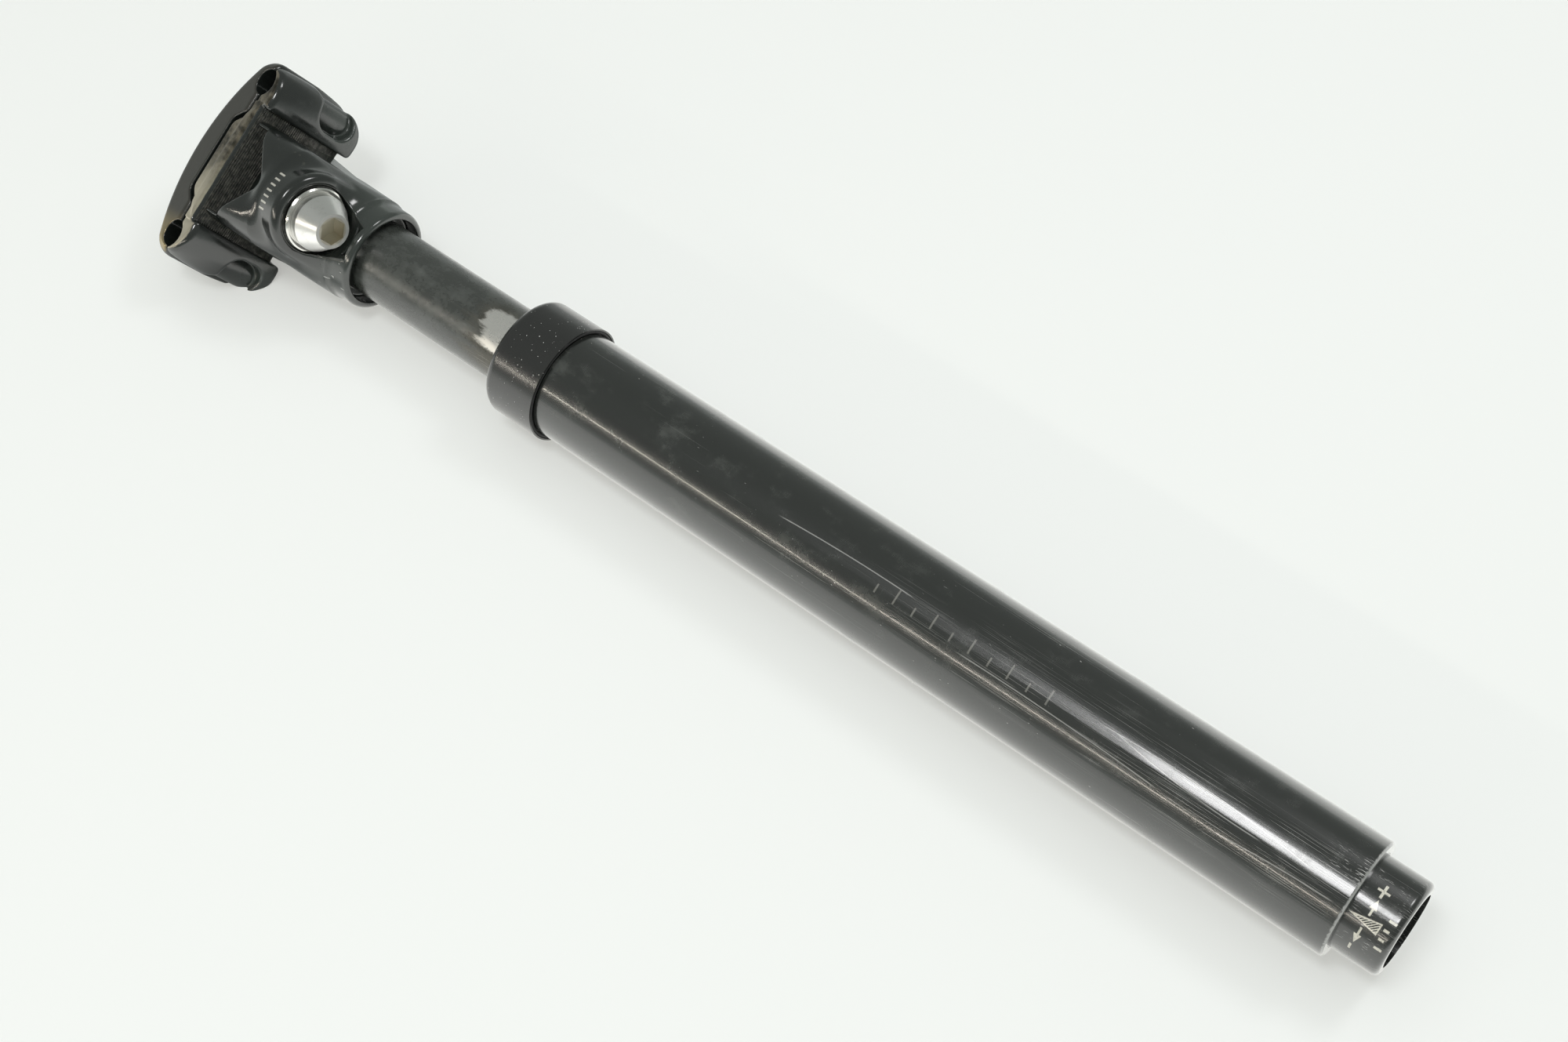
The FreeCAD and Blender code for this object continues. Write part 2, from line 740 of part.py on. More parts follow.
def make_upper_clamp():
    front = size("clamp_front") - 0.6
    rear = size("clamp_rear")
    body = crescent_face(-front).extrude(vector(front + rear, 0, 0))
    body = body.common(clamp_plan(front, rear, 5.0))
    body = body.cut(rail_grooves())
    body = body.cut(rib_block(0.8))
    seat = size("nut_seat_radius") + size("arc_gap")
    width = size("nut_half_width") + size("arc_gap")
    reach = 10.4
    trough = Part.makeCylinder(seat, 2.0 * width, vector(0, -width, size("arc_radius")), vector(0, 1, 0))
    trough = trough.common(Part.makeBox(2.0 * reach, 2.0 * width, 40, vector(-reach, -width, 0)))
    body = body.cut(trough)
    body = body.cut(bolt_slot(size("slot_half_length") - 2.0, 0, 40))
    feature("upper_clamp", body.removeSplitter(), clamp_frame())


def make_clamp_nut():
    half = size("nut_half_length")
    width = size("nut_half_width")
    low = size("arc_radius") - size("nut_seat_radius")
    drum = Part.makeCylinder(size("nut_seat_radius"), 2.0 * width, vector(0, -width, size("arc_radius")),
                             vector(0, 1, 0))
    block = Part.makeBox(2.0 * half, 2.0 * width, size("nut_height"), vector(-half, -width, low - 0.5))
    nut = block.common(drum)
    bore = Part.makeCylinder(size("bolt_radius") + 0.05, 30, vector(0, 0, low - 5))
    feature("clamp_nut", nut.cut(bore), clamp_frame())


# ---------------------------------------------------------------- forged head


def rounded_wire(half_x, half_y, corner, centre_x, placement):
    """A rounded rectangle of eight edges, so that every section of the forging has the same edges."""
    def spot(x, y):
        return placement.multVec(FreeCAD.Vector(centre_x + x, y, 0))
    flat_x = half_x - corner
    flat_y = half_y - corner
    slant = corner * math.sqrt(0.5)
    edges = []
    for sx, sy, across in ((1, 1, False), (-1, 1, True), (-1, -1, False), (1, -1, True)):
        if across:
            start = spot(sx * flat_x, sy * half_y)
            end = spot(sx * half_x, sy * flat_y)
            side_end = spot(sx * half_x, -sy * flat_y)
        else:
            start = spot(sx * half_x, sy * flat_y)
            end = spot(sx * flat_x, sy * half_y)
            side_end = spot(-sx * flat_x, sy * half_y)
        middle = spot(sx * (flat_x + slant), sy * (flat_y + slant))
        edges.append(Part.Arc(start, middle, end).toShape())
        edges.append(Part.LineSegment(end, side_end).toShape())
    return Part.Wire(edges)


def head_blank():
    """Neck, wedge up to the cradle, and the boss round the bolt, before anything is cut from them."""
    level = FreeCAD.Rotation()
    foot = size("mouth_height") + size("neck_height")
    neck = size("neck_radius")
    cradle = clamp_frame().multiply(FreeCAD.Placement(vector(0, 0, 4.6), level))
    centre = (size("cradle_rear") - size("cradle_front")) / 2.0
    half = (size("cradle_rear") + size("cradle_front")) / 2.0
    sections = [
        rounded_wire(neck, neck, neck - 0.3, 0.0, FreeCAD.Placement(vector(0, 0, foot), level)),
        rounded_wire(16.8, 13.5, 8.0, 5.6, FreeCAD.Placement(vector(0, 0, foot + 14.0), level)),
        rounded_wire(half, size("cradle_half_width"), 2.2, centre, cradle),
    ]
    wedge = Part.makeLoft(sections, True, False)
    column = Part.makeCylinder(neck, size("neck_height") + 0.5, vector(0, 0, size("mouth_height")))
    lip = [edge for edge in column.Edges if edge.BoundBox.ZMax < size("mouth_height") + 0.01
           and isinstance(edge.Curve, Part.Circle)]
    column = column.makeFillet(size("neck_round"), lip)
    boss = Part.makeCylinder(size("boss_radius"), size("recess_depth") + 9.0)
    boss.Placement = bolt_frame(-size("recess_depth"))
    lip = [edge for edge in boss.Edges if isinstance(edge.Curve, Part.Circle)]
    lip.sort(key=lambda edge: edge.Curve.Center.z)
    boss = boss.makeFillet(1.2, lip[:1])
    return wedge.fuse(column).fuse(boss)


def head_notch():
    """The V-shaped opening at the rear of the cradle, under the clamp's teeth."""
    low = -10.8
    high = 6.0
    depth = 5.6
    half = 11.4
    knee = -1.8
    corners = [vector(depth, -half, knee), vector(depth, 0, low), vector(depth, half, knee),
               vector(depth, half, high), vector(depth, -half, high)]
    corners.append(corners[0])
    prism = Part.Face(Part.makePolygon(corners)).extrude(vector(30, 0, 0))
    along = [edge for edge in prism.Edges if edge.BoundBox.ZMax < knee + 0.01
             and edge.BoundBox.XLength > 20]
    return prism.makeFillet(1.8, along)


def flank_cut(side):
    """What is taken off one flank, so that the cradle narrows towards its rear corners."""
    slope = math.degrees(math.atan2(1.7, size("cradle_front") + size("cradle_rear")))
    block = Part.makeBox(60, 20, 30, vector(-20, 0, -12))
    block.rotate(vector(0, 0, 0), vector(0, 0, 1), -slope)
    block.translate(vector(-size("cradle_front"), size("cradle_half_width") + 0.2, 0))
    if side < 0:
        block = block.mirror(vector(0, 0, 0), vector(0, 1, 0))
    block.Placement = clamp_frame().multiply(block.Placement)
    return block


def make_head():
    frame = clamp_frame()
    head = head_blank()
    cradle = Part.makeCylinder(size("arc_radius"), 80, vector(0, -40, size("arc_radius")), vector(0, 1, 0))
    cradle.Placement = frame.multiply(cradle.Placement)
    head = head.cut(cradle)
    notch = head_notch()
    notch.Placement = frame.multiply(notch.Placement)
    head = head.cut(notch)
    for side in (-1, 1):
        scoop = Part.makeSphere(14.0, vector(14.0, side * 22.2, -10.0))
        scoop.Placement = frame.multiply(scoop.Placement)
        head = head.cut(scoop)
        head = head.cut(flank_cut(side))
    recess = Part.makeCylinder(size("recess_radius"), size("recess_reach"))
    recess.Placement = bolt_frame(-size("recess_reach"))
    head = head.cut(recess)
    hole = Part.makeCylinder(size("bolt_hole_radius"), 60)
    hole.Placement = bolt_frame(-10.0)
    head = head.cut(hole)
    mouth_height = size("mouth_height")
    head = head.cut(Part.makeCylinder(size("mouth_radius"), size("mouth_depth") + 1, vector(0, 0, mouth_height - 1)))
    socket = Part.makeCylinder(size("spigot_radius"), size("spigot_top_height") - mouth_height + 1,
                               vector(0, 0, mouth_height - 1))
    head = head.cut(socket)
    feature("head", head.removeSplitter())


# ---------------------------------------------------------------- build, check and write


def build():
    make_outer_tube()
    make_collar()
    make_upper_bushing()
    make_inner_rod()
    make_rod_keys()
    make_rod_rings()
    make_spring_pack()
    make_main_spring()
    make_preload_adjuster()
    make_bolt()
    make_lower_clamp()
    make_upper_clamp()
    make_clamp_nut()
    make_head()
    doc.recompute()


def check():
    for item in doc.Objects:
        if "Invalid" in item.State or "Error" in item.State:
            raise ValueError("%s failed: %s" % (item.Label, item.State))
    for node in NODES:
        shape = node.Shape
        if shape.isNull() or not shape.isValid() or not shape.Solids:
            raise ValueError("bad shape: " + node.Label)


def write():
    os.makedirs("parts", exist_ok=True)
    for node in NODES:
        shape = node.Shape
        shape.exportStep(os.path.join("parts", node.Label + ".step"))
        print("%-20s solids %d volume %9.1f" % (node.Label, len(shape.Solids), shape.Volume))


build()
check()
write()
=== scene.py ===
import math

import bpy
import numpy as np
from mathutils import Matrix, Vector


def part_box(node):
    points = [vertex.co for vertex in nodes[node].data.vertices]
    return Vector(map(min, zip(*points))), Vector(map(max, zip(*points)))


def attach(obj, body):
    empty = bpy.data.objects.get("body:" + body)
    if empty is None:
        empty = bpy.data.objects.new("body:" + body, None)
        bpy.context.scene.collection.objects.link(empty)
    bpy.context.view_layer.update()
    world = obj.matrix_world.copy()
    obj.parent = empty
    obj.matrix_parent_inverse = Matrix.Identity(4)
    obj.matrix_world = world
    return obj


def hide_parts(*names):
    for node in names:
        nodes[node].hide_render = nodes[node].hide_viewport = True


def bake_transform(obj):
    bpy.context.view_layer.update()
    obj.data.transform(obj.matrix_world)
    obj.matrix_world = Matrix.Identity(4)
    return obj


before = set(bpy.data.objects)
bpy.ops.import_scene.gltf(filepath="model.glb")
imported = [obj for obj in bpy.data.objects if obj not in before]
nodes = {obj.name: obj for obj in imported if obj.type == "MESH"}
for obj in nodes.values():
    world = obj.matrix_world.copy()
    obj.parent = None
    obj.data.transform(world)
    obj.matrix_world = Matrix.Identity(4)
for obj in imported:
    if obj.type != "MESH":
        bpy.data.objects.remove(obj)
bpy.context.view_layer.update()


MM = 0.001

# ---------------------------------------------------------------- camera, floor and light

CAMERA_PLACE = Vector((465.4, 19.1, -44.0)) * MM
CAMERA_AIM = Vector((0.0, 0.45, 149.2)) * MM
CAMERA_UP = Vector((0.1762, 0.8444, 0.5059))
LENS = 51.3
REFLECTED_GLOW = 0.95
FLOOR_GLOW = 0.42
# the post lies on a table: the table's upward normal, seen from the post
TABLE_NORMAL = Vector((0.865, 0.50, 0.0)).normalized()
MIDDLE = Vector((0, 0, 0.16))
HEAD_MIDDLE = Vector((0, 0, 0.31))


def make_camera():
    data = bpy.data.cameras.new("camera")
    data.lens = LENS
    data.sensor_width = 36.0
    data.clip_start = 0.01
    data.clip_end = 20.0
    camera = bpy.data.objects.new("camera", data)
    forward = (CAMERA_AIM - CAMERA_PLACE).normalized()
    right = forward.cross(CAMERA_UP).normalized()
    up = right.cross(forward)
    turn = Matrix((right, up, -forward)).transposed().to_4x4()
    camera.matrix_world = Matrix.Translation(CAMERA_PLACE) @ turn
    bpy.context.scene.collection.objects.link(camera)
    bpy.context.scene.camera = camera


make_camera()


def link(name, data):
    item = bpy.data.objects.new(name, data)
    bpy.context.scene.collection.objects.link(item)
    return item


def area_light(name, place, aim, width, height, power, colour=(1, 1, 1)):
    data = bpy.data.lights.new(name, "AREA")
    data.shape = "RECTANGLE"
    data.size = width
    data.size_y = height
    data.energy = power
    data.color = colour
    light = link(name, data)
    way = (Vector(aim) - Vector(place)).normalized()
    light.matrix_world = Matrix.Translation(Vector(place)) @ way.to_track_quat("-Z", "Y").to_matrix().to_4x4()
    return light


def make_floor():
    normal = TABLE_NORMAL
    along = Vector((0, 0, 1))
    across = normal.cross(along).normalized()
    below_axis, half = 0.0152, 1.6
    centre = MIDDLE - normal * below_axis
    corners = [centre + along * a * half + across * b * half for a, b in ((-1, -1), (1, -1), (1, 1), (-1, 1))]
    mesh = bpy.data.meshes.new("floor")
    mesh.from_pydata([tuple(c) for c in corners], [], [(0, 1, 2, 3)])
    floor = link("floor", mesh)
    if mesh.polygons[0].normal.dot(normal) < 0:
        mesh.flip_normals()
    material = bpy.data.materials.new("floor")
    material.use_nodes = True
    tree = material.node_tree
    shader = tree.nodes["Principled BSDF"]
    shader.inputs["Base Color"].default_value = (0.515, 0.54, 0.54, 1)
    shader.inputs["Roughness"].default_value = 0.9
    shader.inputs["Specular IOR Level"].default_value = 0.1
    # in reflections the table glows as an overexposed one does; its underside is clear
    path = tree.nodes.new("ShaderNodeLightPath")
    glow = tree.nodes.new("ShaderNodeMath")
    glow.operation = "MULTIPLY"
    glow.inputs[1].default_value = REFLECTED_GLOW
    tree.links.new(path.outputs["Is Glossy Ray"], glow.inputs[0])
    lit = tree.nodes.new("ShaderNodeMath")
    lit.operation = "MULTIPLY_ADD"
    lit.inputs[1].default_value = FLOOR_GLOW
    tree.links.new(path.outputs["Is Camera Ray"], lit.inputs[0])
    tree.links.new(glow.outputs[0], lit.inputs[2])
    shader.inputs["Emission Color"].default_value = (0.965, 0.955, 0.905, 1)
    tree.links.new(lit.outputs[0], shader.inputs["Emission Strength"])
    # the shade of the head on the table, as its underside reflects it
    spot = tree.nodes.new("ShaderNodeTexCoord")
    shade = None
    for way, near, far in ((across, 0.045, 0.030), (along, 0.286, 0.296)):
        reach = tree.nodes.new("ShaderNodeVectorMath")
        reach.operation = "DOT_PRODUCT"
        reach.inputs[1].default_value = way
        tree.links.new(spot.outputs["Object"], reach.inputs[0])
        share = tree.nodes.new("ShaderNodeMapRange")
        share.inputs[1].default_value, share.inputs[2].default_value = near, far
        tree.links.new(reach.outputs["Value"], share.inputs[0])
        joined = tree.nodes.new("ShaderNodeMath")
        joined.operation = "MULTIPLY"
        tree.links.new(share.outputs[0], joined.inputs[0])
        joined.inputs[1].default_value = 1.0
        if shade:
            tree.links.new(shade, joined.inputs[1])
        shade = joined.outputs[0]
    dim = tree.nodes.new("ShaderNodeMapRange")
    dim.inputs[3].default_value, dim.inputs[4].default_value = REFLECTED_GLOW, 0.12
    tree.links.new(shade, dim.inputs[0])
    tree.links.new(dim.outputs[0], glow.inputs[1])
    # the table fades into the backdrop well outside the picture
    away = tree.nodes.new("ShaderNodeVectorMath")
    away.operation = "DISTANCE"
    away.inputs[1].default_value = centre
    tree.links.new(spot.outputs["Object"], away.inputs[0])
    fade = tree.nodes.new("ShaderNodeMapRange")
    fade.inputs[1].default_value, fade.inputs[2].default_value = 0.6, 1.5
    tree.links.new(away.outputs["Value"], fade.inputs[0])
    side = tree.nodes.new("ShaderNodeNewGeometry")
    hidden = tree.nodes.new("ShaderNodeMath")
    hidden.operation = "MAXIMUM"
    tree.links.new(side.outputs["Backfacing"], hidden.inputs[0])
    tree.links.new(fade.outputs[0], hidden.inputs[1])
    clear = tree.nodes.new("ShaderNodeBsdfTransparent")
    choose = tree.nodes.new("ShaderNodeMixShader")
    tree.links.new(hidden.outputs[0], choose.inputs[0])
    tree.links.new(shader.outputs[0], choose.inputs[1])
    tree.links.new(clear.outputs[0], choose.inputs[2])
    tree.links.new(choose.outputs[0], tree.nodes["Material Output"].inputs["Surface"])
    mesh.materials.append(material)


make_floor()


def make_world():
    """Bright all round at the table's level, darker overhead."""
    world = bpy.data.worlds.new("studio")
    bpy.context.scene.world = world
    world.use_nodes = True
    tree = world.node_tree
    back = tree.nodes["Background"]
    place = tree.nodes.new("ShaderNodeTexCoord")
    lift = tree.nodes.new("ShaderNodeVectorMath")
    lift.operation = "DOT_PRODUCT"
    lift.inputs[1].default_value = TABLE_NORMAL
    tree.links.new(place.outputs["Generated"], lift.inputs[0])
    ramp = tree.nodes.new("ShaderNodeValToRGB")
    tree.links.new(lift.outputs[1], ramp.inputs[0])
    stops = ((0.0, 0.8), (0.07, 0.6), (0.18, 0.34), (0.5, 0.33), (1.0, 0.31))
    ramp.color_ramp.elements[0].position = stops[0][0]
    ramp.color_ramp.elements[1].position = stops[-1][0]
    for place_at, _ in stops[1:-1]:
        ramp.color_ramp.elements.new(place_at)
    for element, (_, grey) in zip(ramp.color_ramp.elements, stops):
        element.color = (grey * 0.96, grey * 1.03, grey * 0.97, 1.0)
    tree.links.new(ramp.outputs[0], back.inputs["Color"])
    back.inputs["Strength"].default_value = 1.0
    # the camera itself sees a plain pale backdrop beyond the table
    pale = tree.nodes.new("ShaderNodeBackground")
    pale.inputs["Color"].default_value = (0.9, 0.92, 0.91, 1.0)
    path = tree.nodes.new("ShaderNodeLightPath")
    choose = tree.nodes.new("ShaderNodeMixShader")
    tree.links.new(path.outputs["Is Camera Ray"], choose.inputs[0])
    tree.links.new(back.outputs[0], choose.inputs[1])
    tree.links.new(pale.outputs[0], choose.inputs[2])
    tree.links.new(choose.outputs[0], tree.nodes["World Output"].inputs["Surface"])


make_world()
view_settings = bpy.context.scene.view_settings
view_settings.view_transform = "Standard"
view_settings.look = "None"

fill = area_light("fill", MIDDLE + TABLE_NORMAL * 1.6, MIDDLE, 2.4, 2.4, 10.5)
fill.visible_glossy = False


def beside(angle, distance, height):
    """A place round the post: `angle` in degrees from the rear towards the rider's right."""
    turn = math.radians(angle)
    return Vector((math.cos(turn) * distance, math.sin(turn) * distance, height))


area_light("softbox", beside(11.0, 1.0, 0.13), beside(0, 0, 0.03), 0.19, 0.24, 2.5)
area_light("strip", beside(-36.0, 1.0, 0.5), beside(0, 0, 0.15), 0.014, 1.3, 2.2, (1.0, 0.92, 0.8))

glint_way = Vector((0.428, 0.80, -0.405))
area_light("glint", HEAD_MIDDLE + glint_way, HEAD_MIDDLE, 0.22, 0.22, 1.4)


# ---------------------------------------------------------------- forged shapes as blended solids


def smooth_min(a, b, k):
    h = np.clip(0.5 + 0.5 * (b - a) / k, 0.0, 1.0)
    return b * (1.0 - h) + a * h - k * h * (1.0 - h)


def smooth_max(a, b, k):
    return -smooth_min(-a, -b, k)


def rounded_rectangle(x, y, half_x, half_y, corner):
    qx = np.abs(x) - half_x + corner
    qy = np.abs(y) - half_y + corner
    outside = np.hypot(np.maximum(qx, 0.0), np.maximum(qy, 0.0))
    return outside + np.minimum(np.maximum(qx, qy), 0.0) - corner


def span(value, low, high):
    """Signed distance outside the slab low..high."""
    return np.maximum(low - value, value - high)


def surface_mesh(field, low, high, step):
    """Faces round the region where field(x, y, z) is negative.

    Each grid cell that the surface crosses gets one vertex, which is then pulled onto the surface."""
    axes = [np.arange(low[i] - 2 * step, high[i] + 2.5 * step, step) for i in range(3)]
    values = field(*np.meshgrid(*axes, indexing="ij", sparse=True))
    values = np.broadcast_to(values, tuple(len(a) for a in axes)).astype(np.float32)
    inside = values < 0.0
    corners = [(i, j, k) for i in (0, 1) for j in (0, 1) for k in (0, 1)]

    def shifted(grid, corner):
        return grid[tuple(slice(c, grid.shape[n] - 1 + c) for n, c in enumerate(corner))]

    total = sum(shifted(inside, c).astype(np.int8) for c in corners)
    cells = np.argwhere((total > 0) & (total < 8))
    number = np.full(total.shape, -1, np.int32)
    number[tuple(cells.T)] = np.arange(len(cells))
    corner_values = [values[tuple((cells + np.array(c)).T)] for c in corners]
    place = np.zeros((len(cells), 3))
    count = np.zeros(len(cells))
    for a in range(8):
        for b in range(a + 1, 8):
            if sum(abs(p - q) for p, q in zip(corners[a], corners[b])) != 1:
                continue
            va, vb = corner_values[a], corner_values[b]
            cross = (va < 0) != (vb < 0)
            t = np.where(cross, va / np.where(cross, va - vb, 1.0), 0.0)
            point = np.array(corners[a]) + t[:, None] * (np.array(corners[b]) - np.array(corners[a]))
            place += np.where(cross[:, None], point, 0.0)
            count += cross
    place = (cells + place / count[:, None]) * step + np.array([a[0] for a in axes])
    nudge = step * 0.2
    for _ in range(3):
        here = field(*place.T)
        slope = np.stack([(field(*(place + nudge * np.eye(3)[n]).T) - field(*(place - nudge * np.eye(3)[n]).T))
                          / (2 * nudge) for n in range(3)], 1)
        move = slope * (here / np.maximum((slope ** 2).sum(1), 0.2))[:, None]
        place -= np.clip(move, -0.35 * step, 0.35 * step)
    faces = []
    for axis in range(3):
        first = tuple(slice(0, -1) if n == axis else slice(1, -1) for n in range(3))
        second = tuple(slice(1, None) if n == axis else slice(1, -1) for n in range(3))
        change = inside[first] != inside[second]
        spots = np.argwhere(change)
        for n in range(3):
            if n != axis:
                spots[:, n] += 1
        p, q = [(1, 2), (2, 0), (0, 1)][axis]
        ring = []
        for dp, dq in ((-1, -1), (0, -1), (0, 0), (-1, 0)):
            cell = spots.copy()
            cell[:, p] += dp
            cell[:, q] += dq
            ring.append(number[tuple(cell.T)])
        quads = np.stack(ring, 1)
        outwards = inside[tuple(spots.T)]
        quads[~outwards] = quads[~outwards][:, ::-1]
        faces.append(quads)
    return place, np.concatenate(faces)


# sizes in millimetres; SEAT is where the bolt's axis meets the washer's plane, as (x, z)
LEAN = math.radians(20.0)
COS, SIN = math.cos(LEAN), math.sin(LEAN)
SEAT = (16.0, 289.8)
ARC_DISTANCE = 22.3
ARC_LOW = (SEAT[0] - SIN * ARC_DISTANCE, SEAT[1] + COS * ARC_DISTANCE)
ARC_RADIUS = 30.0
TOOTH_TIP_RADIUS = 29.7
TOOTH_PITCH = 0.56
CLAMP_HALF_WIDTH = 28.0
RAIL_SIDE, RAIL_HEIGHT, GROOVE_RADIUS = 22.0, 7.3, 3.55
TUBE_RADIUS, COLLAR_RADIUS, ROD_RADIUS, ADJUSTER_RADIUS = 13.6, 15.0, 9.65, 11.0


def clamp_u_w(x, z):
    """Coordinates along the rails and up through the clamp, from the lowest point of the toothed arc."""
    dx, dz = x - ARC_LOW[0], z - ARC_LOW[1]
    return dx * COS + dz * SIN, -dx * SIN + dz * COS


def head_field(x, y, z):
    u, w = clamp_u_w(x, z)
    side = np.abs(y)
    column = smooth_max(np.hypot(x, y) - 13.2, 276.6 - z, 1.6)
    column = smooth_max(column, w + 9.0, 5.0)
    a = np.maximum(z - 284.0, 0.0)
    b = np.maximum(4.6 - w, 0.0)
    t = a / np.maximum(a + b, 1e-6)
    along = (1.0 - t) * x + t * u
    flare = np.clip(t / 0.5, 0.0, 1.0)
    late = np.clip((t - 0.5) / 0.5, 0.0, 1.0)
    half_x = 13.0 + 3.6 * flare - 3.85 * late
    half_y = 13.1 + 0.4 * flare + (0.8 - 0.07 * u) * late
    corner = 12.8 - 5.0 * flare - 5.4 * late
    wedge = rounded_rectangle(along + 0.4 * flare - 0.2 * late, y, half_x, half_y, corner)
    wedge = np.maximum(wedge, span(z, 284.0, 400.0))
    wedge = np.maximum(wedge, w - 6.0)
    body = smooth_min(column, wedge, 2.5)
    bolt_w = w + ARC_DISTANCE
    bolt_r = np.hypot(u, y)
    boss = smooth_max(bolt_r - 11.2, span(bolt_w, -0.9, 11.0), 2.2)
    body = smooth_min(body, boss, 2.4)
    cradle = np.hypot(u, w - ARC_RADIUS) - ARC_RADIUS
    body = smooth_max(body, -cradle, 0.35)
    soft_v = np.sqrt(y * y + 1.4) - 0.6
    notch = (9.0 * soft_v - 11.4 * (w + 10.8)) / 14.52
    notch = smooth_max(notch, 5.4 - u, 1.6)
    notch = smooth_max(notch, side - 11.9, 0.5)
    body = smooth_max(body, -notch, 0.9)
    scoop = np.sqrt((u - 16.5) ** 2 / 1.6 + (side - 26.4) ** 2 + (w + 12.5) ** 2 / 1.2) - 14.0
    body = smooth_max(body, -scoop, 3.0)
    recess = np.maximum(bolt_r - 8.6, span(bolt_w, -9.0, 0.0))
    body = smooth_max(body, -recess, 0.5)
    body = np.maximum(body, -np.maximum(bolt_r - 4.4, span(bolt_w, -10.0, 60.0)))
    mouth = smooth_max(np.hypot(x, y) - 11.5, span(z, 270.0, 281.0), 0.5)
    return smooth_max(body, -mouth, 0.5)


def lower_clamp_field(u, v, w):
    side = np.abs(v)
    under = np.hypot(u, w - ARC_RADIUS) - 29.33
    middle = np.maximum(side - 16.7, span(u, -12.9, 12.9))
    middle = smooth_max(middle, under, 0.3)
    middle = smooth_max(middle, w - 6.9, 0.5)
    slope = (3.9 * (side - 9.5) + 3.2 * (w - 10.8)) / 5.05
    rib = smooth_max(smooth_max(slope, w - 10.8, 1.0), span(u, -12.9, 12.9), 0.8)
    rib = np.maximum(rib, 5.0 - w)
    middle = smooth_min(middle, rib, 1.2)
    bulge = np.hypot(side - 19.2, (w - 7.0) * 1.16) - 8.9 + 0.006 * (u + 3.0) ** 2
    rail = smooth_max(bulge, 16.3 - side, 0.5)
    rail = smooth_max(rail, w - 6.9, 0.6)
    taper = side - CLAMP_HALF_WIDTH + 0.13 * np.maximum(-1.4 - u, 0.0)
    rail = smooth_max(rail, taper, 0.9)
    ends = rounded_rectangle(u + 0.9, side, 13.9, CLAMP_HALF_WIDTH, np.where(u < 0.0, 7.5, 2.6))
    rail = smooth_max(rail, ends, 1.8)
    window = rounded_rectangle(u + 6.0, side - 23.3, 5.3, 4.3, 3.9)
    window = smooth_min(window, np.hypot(u + 2.6, side - 30.2) - 4.4, 1.2)
    kept_wall = np.hypot(side - RAIL_SIDE, w - RAIL_HEIGHT) - 4.5
    window = smooth_max(window, -kept_wall, 0.6)
    rail = smooth_max(rail, -window, 0.9)
    body = smooth_min(middle, rail, 0.6)
    groove = np.hypot(side - RAIL_SIDE, w - RAIL_HEIGHT) - GROOVE_RADIUS
    body = smooth_max(body, -groove, 0.35)
    slot = rounded_rectangle(u, v, 9.4, 4.4, 4.3)
    return smooth_max(body, -slot, 0.4)


def upper_clamp_field(u, v, w):
    side = np.abs(v)
    crown_radius = (CLAMP_HALF_WIDTH ** 2 + 9.0 ** 2) / 18.0
    arch = np.hypot(v, w - (19.6 - crown_radius)) - crown_radius
    body = smooth_max(arch, 7.7 - w, 0.5)
    plan = rounded_rectangle(u + 0.6, side, 13.6, CLAMP_HALF_WIDTH, np.where(u < 0.0, 8.0, 4.0))
    plan = smooth_max(plan, side - CLAMP_HALF_WIDTH + 0.13 * np.maximum(-1.4 - u, 0.0), 0.8)
    body = smooth_max(body, plan, 1.3)
    groove = np.hypot(side - RAIL_SIDE, w - RAIL_HEIGHT) - GROOVE_RADIUS
    body = smooth_max(body, -groove, 0.35)
    slope = (3.9 * (side - 10.3) + 3.2 * (w - 11.6)) / 5.05
    body = smooth_max(body, -smooth_max(slope, w - 11.6, 0.8), 0.4)
    trough = np.maximum(np.hypot(u, w - ARC_RADIUS) - 15.9, np.maximum(side - 6.9, np.abs(u) - 10.4))
    body = smooth_max(body, -trough, 0.4)
    return smooth_max(body, -rounded_rectangle(u, v, 8.0, 4.4, 4.3), 0.3)


def mesh_object(name, places, faces, body, stands_for):
    mesh = bpy.data.meshes.new(name)
    mesh.from_pydata([tuple(p) for p in places], [], [tuple(int(i) for i in f) for f in faces])
    mesh.validate()
    item = link(name, mesh)
    mesh.shade_smooth()
    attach(item, body)
    if stands_for:
        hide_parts(stands_for)
    return item


def from_clamp(points):
    """Clamp coordinates (u, v, w) in millimetres to the row frame in metres."""
    u, v, w = points.T
    return np.stack([ARC_LOW[0] + u * COS - w * SIN, v, ARC_LOW[1] + u * SIN + w * COS], 1) * MM


GRID = 0.3
places, faces = surface_mesh(head_field, (-14.5, -15.2, 276), (28.5, 15.2, 326), GRID)
head_piece = mesh_object("head_casting", places * MM, faces, "sliding_head", "head")
places, faces = surface_mesh(lower_clamp_field, (-15, -28.2, -2.5), (13.2, 28.2, 11), GRID)
lower_piece = mesh_object("lower_clamp_casting", from_clamp(places), faces,
                          "rail_cradle", "lower_clamp")
places, faces = surface_mesh(upper_clamp_field, (-14.4, -28.2, 7.5), (13.2, 28.2, 19.8), GRID)
upper_piece = mesh_object("upper_clamp_casting", from_clamp(places), faces,
                          "rail_cap", "upper_clamp")


